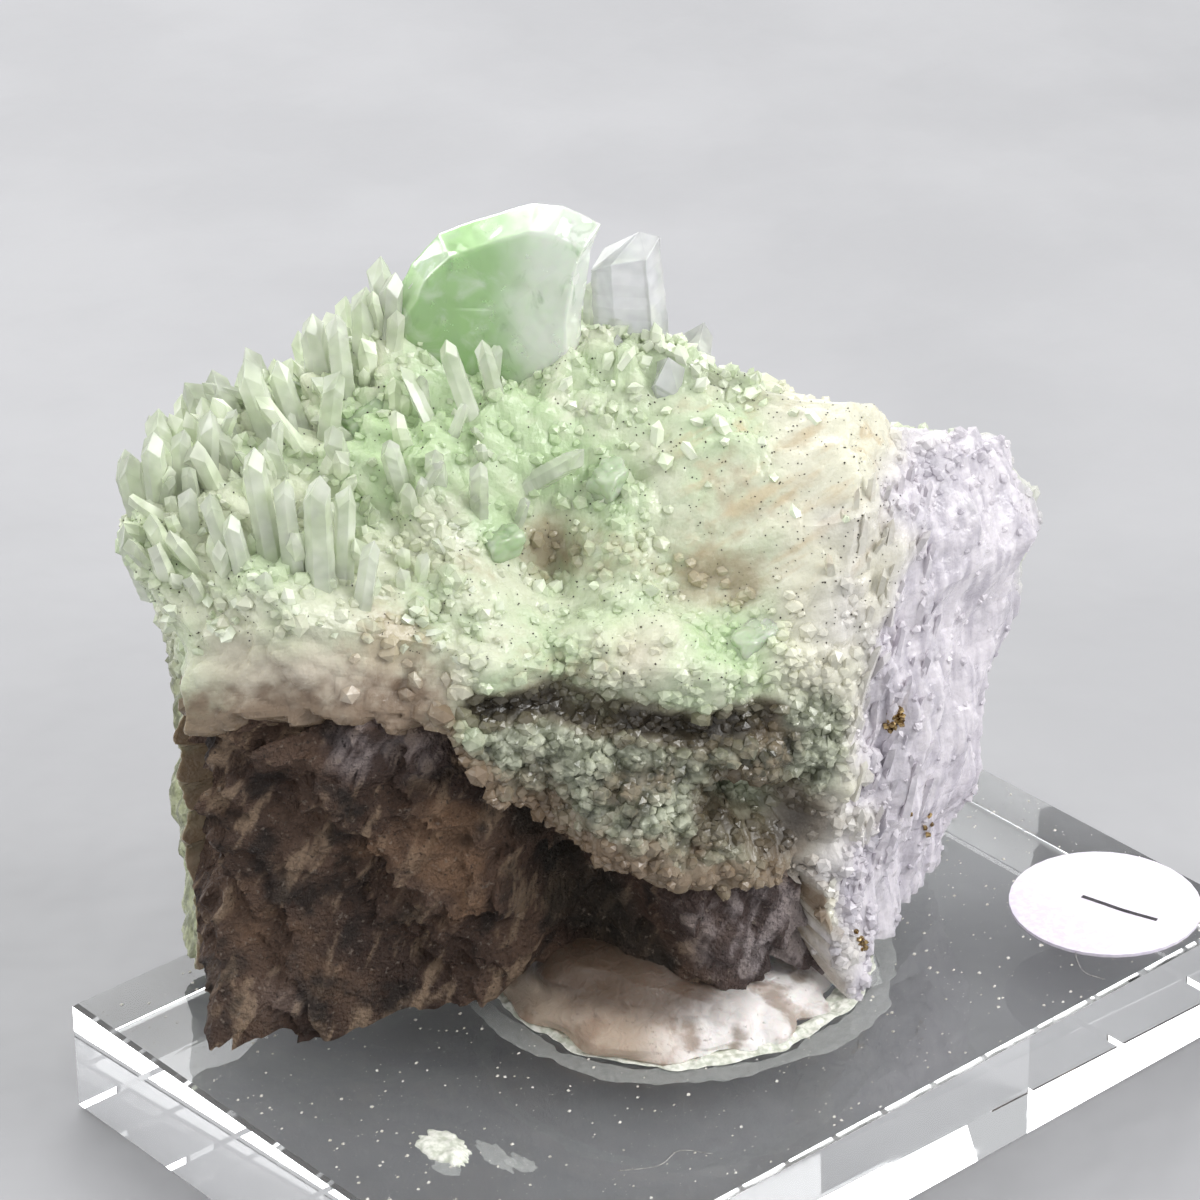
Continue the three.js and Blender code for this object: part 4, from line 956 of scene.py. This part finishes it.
def augelite_skin(around=220, deep=90):
    """The big crystal: its outline, scaled and set back ring by ring from the front's middle to the back's
    middle. Chips and fine bumps move each point away from the crystal's middle."""
    outline = np.array(AUGELITE_FRONT)
    middle = np.array(AUGELITE_MIDDLE)
    steps = np.linspace(0, len(outline), around, endpoint=False)
    i = np.floor(steps).astype(int)
    part = (steps - i)[:, None]
    rim = outline[i] * (1 - part) + outline[(i + 1) % len(outline)] * part - middle
    ring = np.linspace(0, len(AUGELITE_RINGS) - 1, deep + 2)[1:-1]
    rings = np.array(AUGELITE_RINGS)
    depth, scale = (np.interp(ring, np.arange(len(rings)), column) for column in rings.T)
    x = middle[0] + rim[None, :, 0] * scale[:, None]
    z = middle[1] + rim[None, :, 1] * scale[:, None]
    y = np.broadcast_to(depth[:, None], x.shape)
    rows = np.stack([x, y, z], axis=-1)
    poles = [np.array((middle[0], AUGELITE_RINGS[k][0], middle[1])) for k in (0, -1)]
    points = np.concatenate([poles[0][None], rows.reshape(-1, 3), poles[1][None]])
    away = points - np.array((middle[0], 8.4, middle[1]))
    rise = chips(points, 4.4, 80, 0.8) * 0.3 + chips(points, 1.3, 90) * 0.05 + bumps(points, 0.9, 15) * 0.04
    points = points + away * (rise / np.linalg.norm(away, axis=1))[:, None]
    # rows run from front to back, which turns the skin inside out, so each face is taken the other way
    return points, [f[:, ::-1] for f in grid_faces(deep, around)]


green_glass = augelite_finish("augelite_green", tone(234, 240, 230), tone(180, 214, 158))
green_wax = augelite_finish("augelite_pale", tone(204, 220, 188), tone(188, 212, 168))
points, faces = augelite_skin()
add_piece("augelite_large", to_frame(points), faces, green_glass, ("augelite_crystal",), True)


def bevelled_block(place, size, turn, sides=28):
    """A blocky crystal: every direction of a ball reaches out to the nearest of the planes of a box and of
    an eight-faced solid that cuts its corners. The block is then turned and set on its place."""
    across = (np.arange(2 * sides) / (2 * sides) * 2 + 0.013) * math.pi
    up = np.linspace(-math.pi / 2, math.pi / 2, sides + 2)[1:-1]
    wide = np.cos(up[:, None])
    rays = np.stack([np.cos(across) * wide, np.sin(across) * wide, np.sin(up[:, None]) + 0 * across], axis=-1)
    rays = np.concatenate([[[0, 0, -1.0]], rays.reshape(-1, 3), [[0, 0, 1.0]]])
    box = 0.5 / np.max(np.abs(rays), axis=1)
    corners = 1.17 / np.sum(np.abs(rays), axis=1)
    points = rays * np.minimum(box, corners)[:, None]
    points += chips(points * 9 + np.array(place), 3.0, 95)[:, None] * rays * 0.12
    a, b, c = 0.35 * turn, -0.5 * turn, 1.6 * turn
    tip = np.array(((1, 0, 0), (0, math.cos(a), -math.sin(a)), (0, math.sin(a), math.cos(a))))
    roll = np.array(((math.cos(b), 0, math.sin(b)), (0, 1, 0), (-math.sin(b), 0, math.cos(b))))
    spin = np.array(((math.cos(c), -math.sin(c), 0), (math.sin(c), math.cos(c), 0), (0, 0, 1)))
    points = (points * np.array(size)) @ (spin @ roll @ tip).T + np.array(place)
    return points, grid_faces(sides, 2 * sides)


for k, (place, size, turn) in enumerate(SMALL_AUGELITES):
    points, faces = bevelled_block(np.array(place) - (0, 0, SMALL_SINK), np.array(size) * SMALL_SCALE, turn)
    add_piece(f"augelite_small_{k + 1}", to_frame(points), faces, green_wax, (), True)


# Putty, marks on the slab, and the slab itself
def putty_skin(around=300, high=90):
    """The pressed lump: a slumped profile carried round, wider to the left, creased upright on the right."""
    profile = np.array([(1, 0), (1.03, 0.5), (1.02, 1.4), (0.96, 2.6), (0.9, 4), (0.8, 5.2), (0.5, 6.1)])
    t = np.linspace(0, len(profile) - 1, high)
    scale, rise = (np.interp(t, np.arange(len(profile)), column)[:, None] for column in profile.T)
    angle = np.arange(around) / around * 2 * math.pi
    bulge = PUTTY_LEFT_BULGE * np.maximum(0, -np.cos(angle - 0.5)) ** 2
    share = PUTTY_LOW_SHARE + (1 - PUTTY_LOW_SHARE) * (0.5 + 0.5 * np.cos(angle - PUTTY_ARCH)) ** 3
    rise = rise * share
    crinkle = 0.45 * np.sin(7 * angle + rise) + 0.25 * np.sin(13 * angle - 2 * rise)
    reach = (PUTTY_RADIUS + bulge + crinkle) * scale
    x, y = np.cos(angle) * reach, np.sin(angle) * reach
    p = np.stack([x, y, PUTTY_FLOOR + rise], axis=-1)
    creased = smooth(x - y, -2, 8)[..., None]
    wrinkle = bumps(p * np.array((1, 1, 0.3)), 1.1, 21) * 0.5 + chips(p, 2.4, 22) * 0.9
    soft = bumps(p, 2.6, 23) * 0.4
    away = np.stack([np.cos(angle) + 0 * x, np.sin(angle) + 0 * x, 0 * x], axis=-1)
    p = p + away * (creased[..., 0] * wrinkle + (1 - creased[..., 0]) * soft)[..., None]
    poles = np.array([(0, 0, PUTTY_FLOOR), (0, 0, SLAB_TOP + 5.0)])
    return np.concatenate([poles[:1], p.reshape(-1, 3), poles[1:]]), grid_faces(high, around)


points, faces = putty_skin()
add_piece("putty_lump", points * MM, faces, putty_finish(), ("mounting_putty",), True)


def film(radius, width, high, seed, around=260, across=10):
    """A flat ragged ring on the slab: a low lens-shaped profile carried round a circle."""
    angle = np.linspace(0, 2 * math.pi, around, endpoint=False)
    loop = np.arange(2 * across) / (2 * across) * 2 * math.pi
    edge = np.stack([np.cos(angle) * radius, np.sin(angle) * radius, 0 * angle], axis=-1)
    ragged = 1 + 0.45 * bumps(edge, 2.2, seed) + 0.25 * bumps(edge, 0.8, seed + 1)
    reach = radius + 0.5 * bumps(edge, 5.0, seed + 2)[None] + np.cos(loop)[:, None] * width / 2 * ragged
    x, y = np.cos(angle) * reach, np.sin(angle) * reach
    z = FILM_FLOOR + high * (1 + np.sin(loop))[:, None] / 2 + 0 * x
    z = z + np.maximum(np.sin(loop), 0)[:, None] * high * bumps(np.stack([x, y, z], axis=-1), 0.5, seed + 3)
    p = np.stack([x, y, z], axis=-1)
    i, j = np.meshgrid(np.arange(around), np.arange(2 * across))
    n, up = (i + 1) % around, (j + 1) % (2 * across)
    quads = np.stack([up * around + i, up * around + n, j * around + n, j * around + i], axis=-1)
    return p.reshape(-1, 3), [quads.reshape(-1, 4)]


def blot(centre, sizes, high, seed, around=120, rings=24):
    """A flat ragged lump on the slab: rings out to an uneven outline, thick in the middle."""
    angle = np.arange(around) / around * 2 * math.pi
    circle = np.stack([np.cos(angle), np.sin(angle), 0 * angle], axis=-1)
    outline = 1 + 0.3 * bumps(circle * 2.2, 1, seed) + 0.14 * bumps(circle * 7, 1, seed + 1)
    t = np.concatenate([np.linspace(0, 1, rings)[1:], np.linspace(1, 0, rings // 2)[:-1]])
    up = np.concatenate([np.sqrt(1 - np.linspace(0, 1, rings)[1:] ** 2), np.zeros(rings // 2 - 1)])
    x = centre[0] + np.cos(angle) * outline * t[:, None] * sizes[0]
    y = centre[1] + np.sin(angle) * outline * t[:, None] * sizes[1]
    rough = 1 + 0.5 * bumps(np.stack([x, y, 0 * x], axis=-1), 0.9, seed + 2)
    p = np.stack([x, y, FILM_FLOOR + high * up[:, None] * rough], axis=-1)
    poles = np.array([(*centre, SLAB_TOP + high), (*centre, FILM_FLOOR)])
    return (np.concatenate([poles[:1], p.reshape(-1, 3), poles[1:]]),
            [f[:, ::-1] for f in grid_faces(len(t), around)])


residue = plain_finish("greasy_film", tone(204, 208, 204), tone(240, 242, 238), 0.5, (0.2, 0.5), Alpha=0.16)
white_rim = plain_finish("putty_residue", tone(196, 200, 184), tone(240, 240, 230), 0.6, (0.4, 0.7))
for k, (radius, width, high, finish) in enumerate([(16.2, 1.8, 0.04, residue), (14.3, 1.6, 0.3, white_rim)]):
    points, faces = film(radius, width, high, 300 + 10 * k)
    add_piece(f"residue_ring_{k + 1}", points * MM, faces, finish)
SMEARS = [
    (-29.3, -7.9, 2.6, 1.3), (-27.2, -10.9, 2.2, 0.9), (-30.8, -9.6, 1.5, 0.8), (-26.4, -12.6, 1.4, 0.8)]
for k, (x, y, wide, deep) in enumerate(SMEARS):
    high, finish = (0.12, residue) if k else (0.5, white_rim)
    points, faces = blot((x, y), (deep, wide), high, 340 + 10 * k)
    add_piece(f"smear_{k + 1}", points * MM, faces, finish)


def specks(seed, count, low, high, size, z):
    """Tiny four-sided grains at random places of a flat area, flattened onto it."""
    rng = np.random.default_rng(seed)
    shape = block_shape()
    roots = np.column_stack([rng.uniform(low[0], high[0], count), rng.uniform(low[1], high[1], count),
                             np.full(count, z)])
    widths = size[0] + (size[1] - size[0]) * rng.random(count) ** 4
    return crystals(shape, roots, np.tile((0.0, 0, 1), (count, 1)), widths * 0.4, widths,
                    rng.uniform(0, 6.28, count), rng.uniform(0.5, 1, count))


dust = plain_finish("pale_dust", tone(190, 184, 172), tone(236, 232, 226), 0.3)
points, faces, _ = specks(400, 2600, (-37.5, -24.8), (37.5, 24.8), (0.05, 0.28), SLAB_TOP + 0.005)
add_piece("slab_dust", points * MM, faces, dust)


def fibre(path, thick, sides=5, steps=60):
    """A thin round thread carried along a smooth path through the given points (Catmull-Rom)."""
    path = np.array(path, float)
    path = np.concatenate([2 * path[:1] - path[1:2], path, 2 * path[-1:] - path[-2:-1]])
    t = np.linspace(0, len(path) - 3 - 1e-6, steps)
    i, u = np.floor(t).astype(int), (t - np.floor(t))[:, None]
    a, b, c, d = path[i], path[i + 1], path[i + 2], path[i + 3]
    line = 0.5 * (2 * b + (c - a) * u + (2 * a - 5 * b + 4 * c - d) * u**2 + (3 * b - a - 3 * c + d) * u**3)
    ahead = unit(np.gradient(line, axis=0))
    side = unit(np.cross(ahead, np.array((0.1, 0.2, 1.0))))
    top = np.cross(side, ahead)
    angle = np.arange(sides) / sides * 2 * math.pi
    ring = np.cos(angle)[:, None] * side[:, None] + np.sin(angle)[:, None] * top[:, None]
    ring = line[:, None] + ring * thick / 2
    faces = [f[:, ::-1] for f in grid_faces(steps, sides)]
    return np.concatenate([line[:1], ring.reshape(-1, 3), line[-1:]]), faces


lint = plain_finish("lint", tone(120, 116, 110), tone(200, 196, 190), 0.5)
LINT = [[(24, -19.5, 9.56), (22.5, -21, 9.7), (21.5, -22.8, 9.8), (22.2, -24.2, 9.56)],
        [(-20, 19, 9.56), (-16, 20.5, 9.75), (-12, 19.6, 9.6), (-8.5, 21, 9.56)],
        [(-22, -18, 9.56), (-19.5, -19.6, 9.7), (-17, -19.2, 9.6), (-15.5, -21, 9.56)]]
for k, path in enumerate(LINT):
    points, faces = fibre(path, 0.05)
    add_piece(f"lint_{k + 1}", points * MM, faces, lint)

ink = plain_finish("pen_ink", tone(24, 22, 26), tone(54, 50, 56), 0.4)
STROKE = [(x, y, INK_HEIGHT) for x, y in ((29.3, -15.2), (29.75, -17.0), (30.2, -18.8), (31.1, -21.4))]
points, faces = fibre(STROKE, 0.42, 8)
points[:, 2] = INK_HEIGHT + (points[:, 2] - INK_HEIGHT) * INK_FLATTENED
add_piece("pen_stroke", points * MM, faces, ink)

# Dark specks on the crust, and pyrite in it
pepper = plain_finish("pepper_specks", tone(30, 27, 24), tone(70, 62, 52), 0.2)
points, faces, _ = grains(501, 2400, (-2.5, 6.6), (3.9, 6.8), block_shape(), (0.05, 0.14), (0.05, 0.15), 0.3,
                          0.5, bare_of_rock)
add_piece("pepper_specks", to_frame(points), faces, pepper)
pyrite = plain_finish("pyrite", tone(120, 98, 70), tone(196, 170, 120), 0.3, (0.2, 0.45), Metallic=1.0)


def cluster_of(seed, centre, spread, count, size):
    """Blocks of one mineral crowded round a point."""
    rng = np.random.default_rng(seed)
    roots = np.array(centre) + rng.normal(0, 1, (count, 3)) * np.array(spread)
    axes = rng.normal(0, 1, (count, 3)) + np.array((0.3, -0.6, 0.3))
    widths = rng.uniform(size * 0.4, size, count)
    return crystals(block_shape(), roots, axes, widths, widths, rng.uniform(0, 6.28, count))


places = crust_skin(np.array([6.6, 6.9, 7.4, 6.18]), np.array([3.12, 2.3, 1.8, 1.3]))
for k, (centre, count, size) in enumerate(zip(places, (26, 10, 12, 30), (0.62, 0.4, 0.4, 0.36))):
    points, faces, _ = cluster_of(520 + k, centre, (0.28, 0.28, 0.55), count, size)
    add_piece(f"pyrite_{k + 1}", to_frame(points), faces, pyrite)

for node, finish in (("acrylic_base", acrylic_finish()), ("number_label", paper_finish())):
    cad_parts[node].data.materials.clear()
    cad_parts[node].data.materials.append(finish)

# Stage, light and camera
bpy.ops.mesh.primitive_plane_add(size=4.0, location=(0, 0, -0.05 * MM))
floor = bpy.context.object
floor.name = "floor"
floor_grey = plain_finish("floor_grey", (0.34, 0.34, 0.35, 1), (0.37, 0.37, 0.38, 1), 40, (0.8, 0.9))
floor.data.materials.append(floor_grey)
floor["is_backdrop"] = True

world = bpy.data.worlds.new("studio")
bpy.context.scene.world = world
world.use_nodes = True
world.node_tree.nodes["Background"].inputs["Color"].default_value = (0.97, 0.98, 1.0, 1)
world.node_tree.nodes["Background"].inputs["Strength"].default_value = 0.6


def add_lamp(name, place, power, size):
    """A soft square lamp at a place in the specimen's frame, in mm, that looks at the stone's heart."""
    lamp = bpy.data.objects.new(name, bpy.data.lights.new(name, "AREA"))
    lamp.data.energy, lamp.data.size = power, size
    bpy.context.scene.collection.objects.link(lamp)
    points = to_frame(np.array([place, HEART], float))
    lamp.location = points[0]
    lamp.rotation_euler = Vector(points[1] - points[0]).to_track_quat("-Z", "Y").to_euler()


# Lamps: name, place, power in watts, size in metres.
for lamp in [("key", (400, -130, 320), 2.0, 0.3), ("fill", (-200, -420, 300), 0.3, 0.3),
             ("rim", (-140, 330, 360), 2.0, 0.45), ("left", (-420, -60, 330), 0.8, 0.3),
             ("sky", (20, -60, 640), 0.6, 0.5)]:
    add_lamp(*lamp)

picture = bpy.context.scene
picture.view_settings.view_transform = "Standard"
for bounces in ("max_bounces", "transmission_bounces", "glossy_bounces"):
    setattr(picture.cycles, bounces, 24)
picture.cycles.sample_clamp_indirect = 12.0

camera = bpy.data.objects.new("camera", bpy.data.cameras.new("camera"))
camera.data.lens, camera.data.sensor_width = LENS, SENSOR
camera.data.clip_start, camera.data.clip_end = 0.01, 10.0
camera.location = CAMERA_PLACE
camera.rotation_euler = (CAMERA_TILT, 0, SPECIMEN_TURN)
bpy.context.scene.collection.objects.link(camera)
bpy.context.scene.camera = camera

low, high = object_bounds()
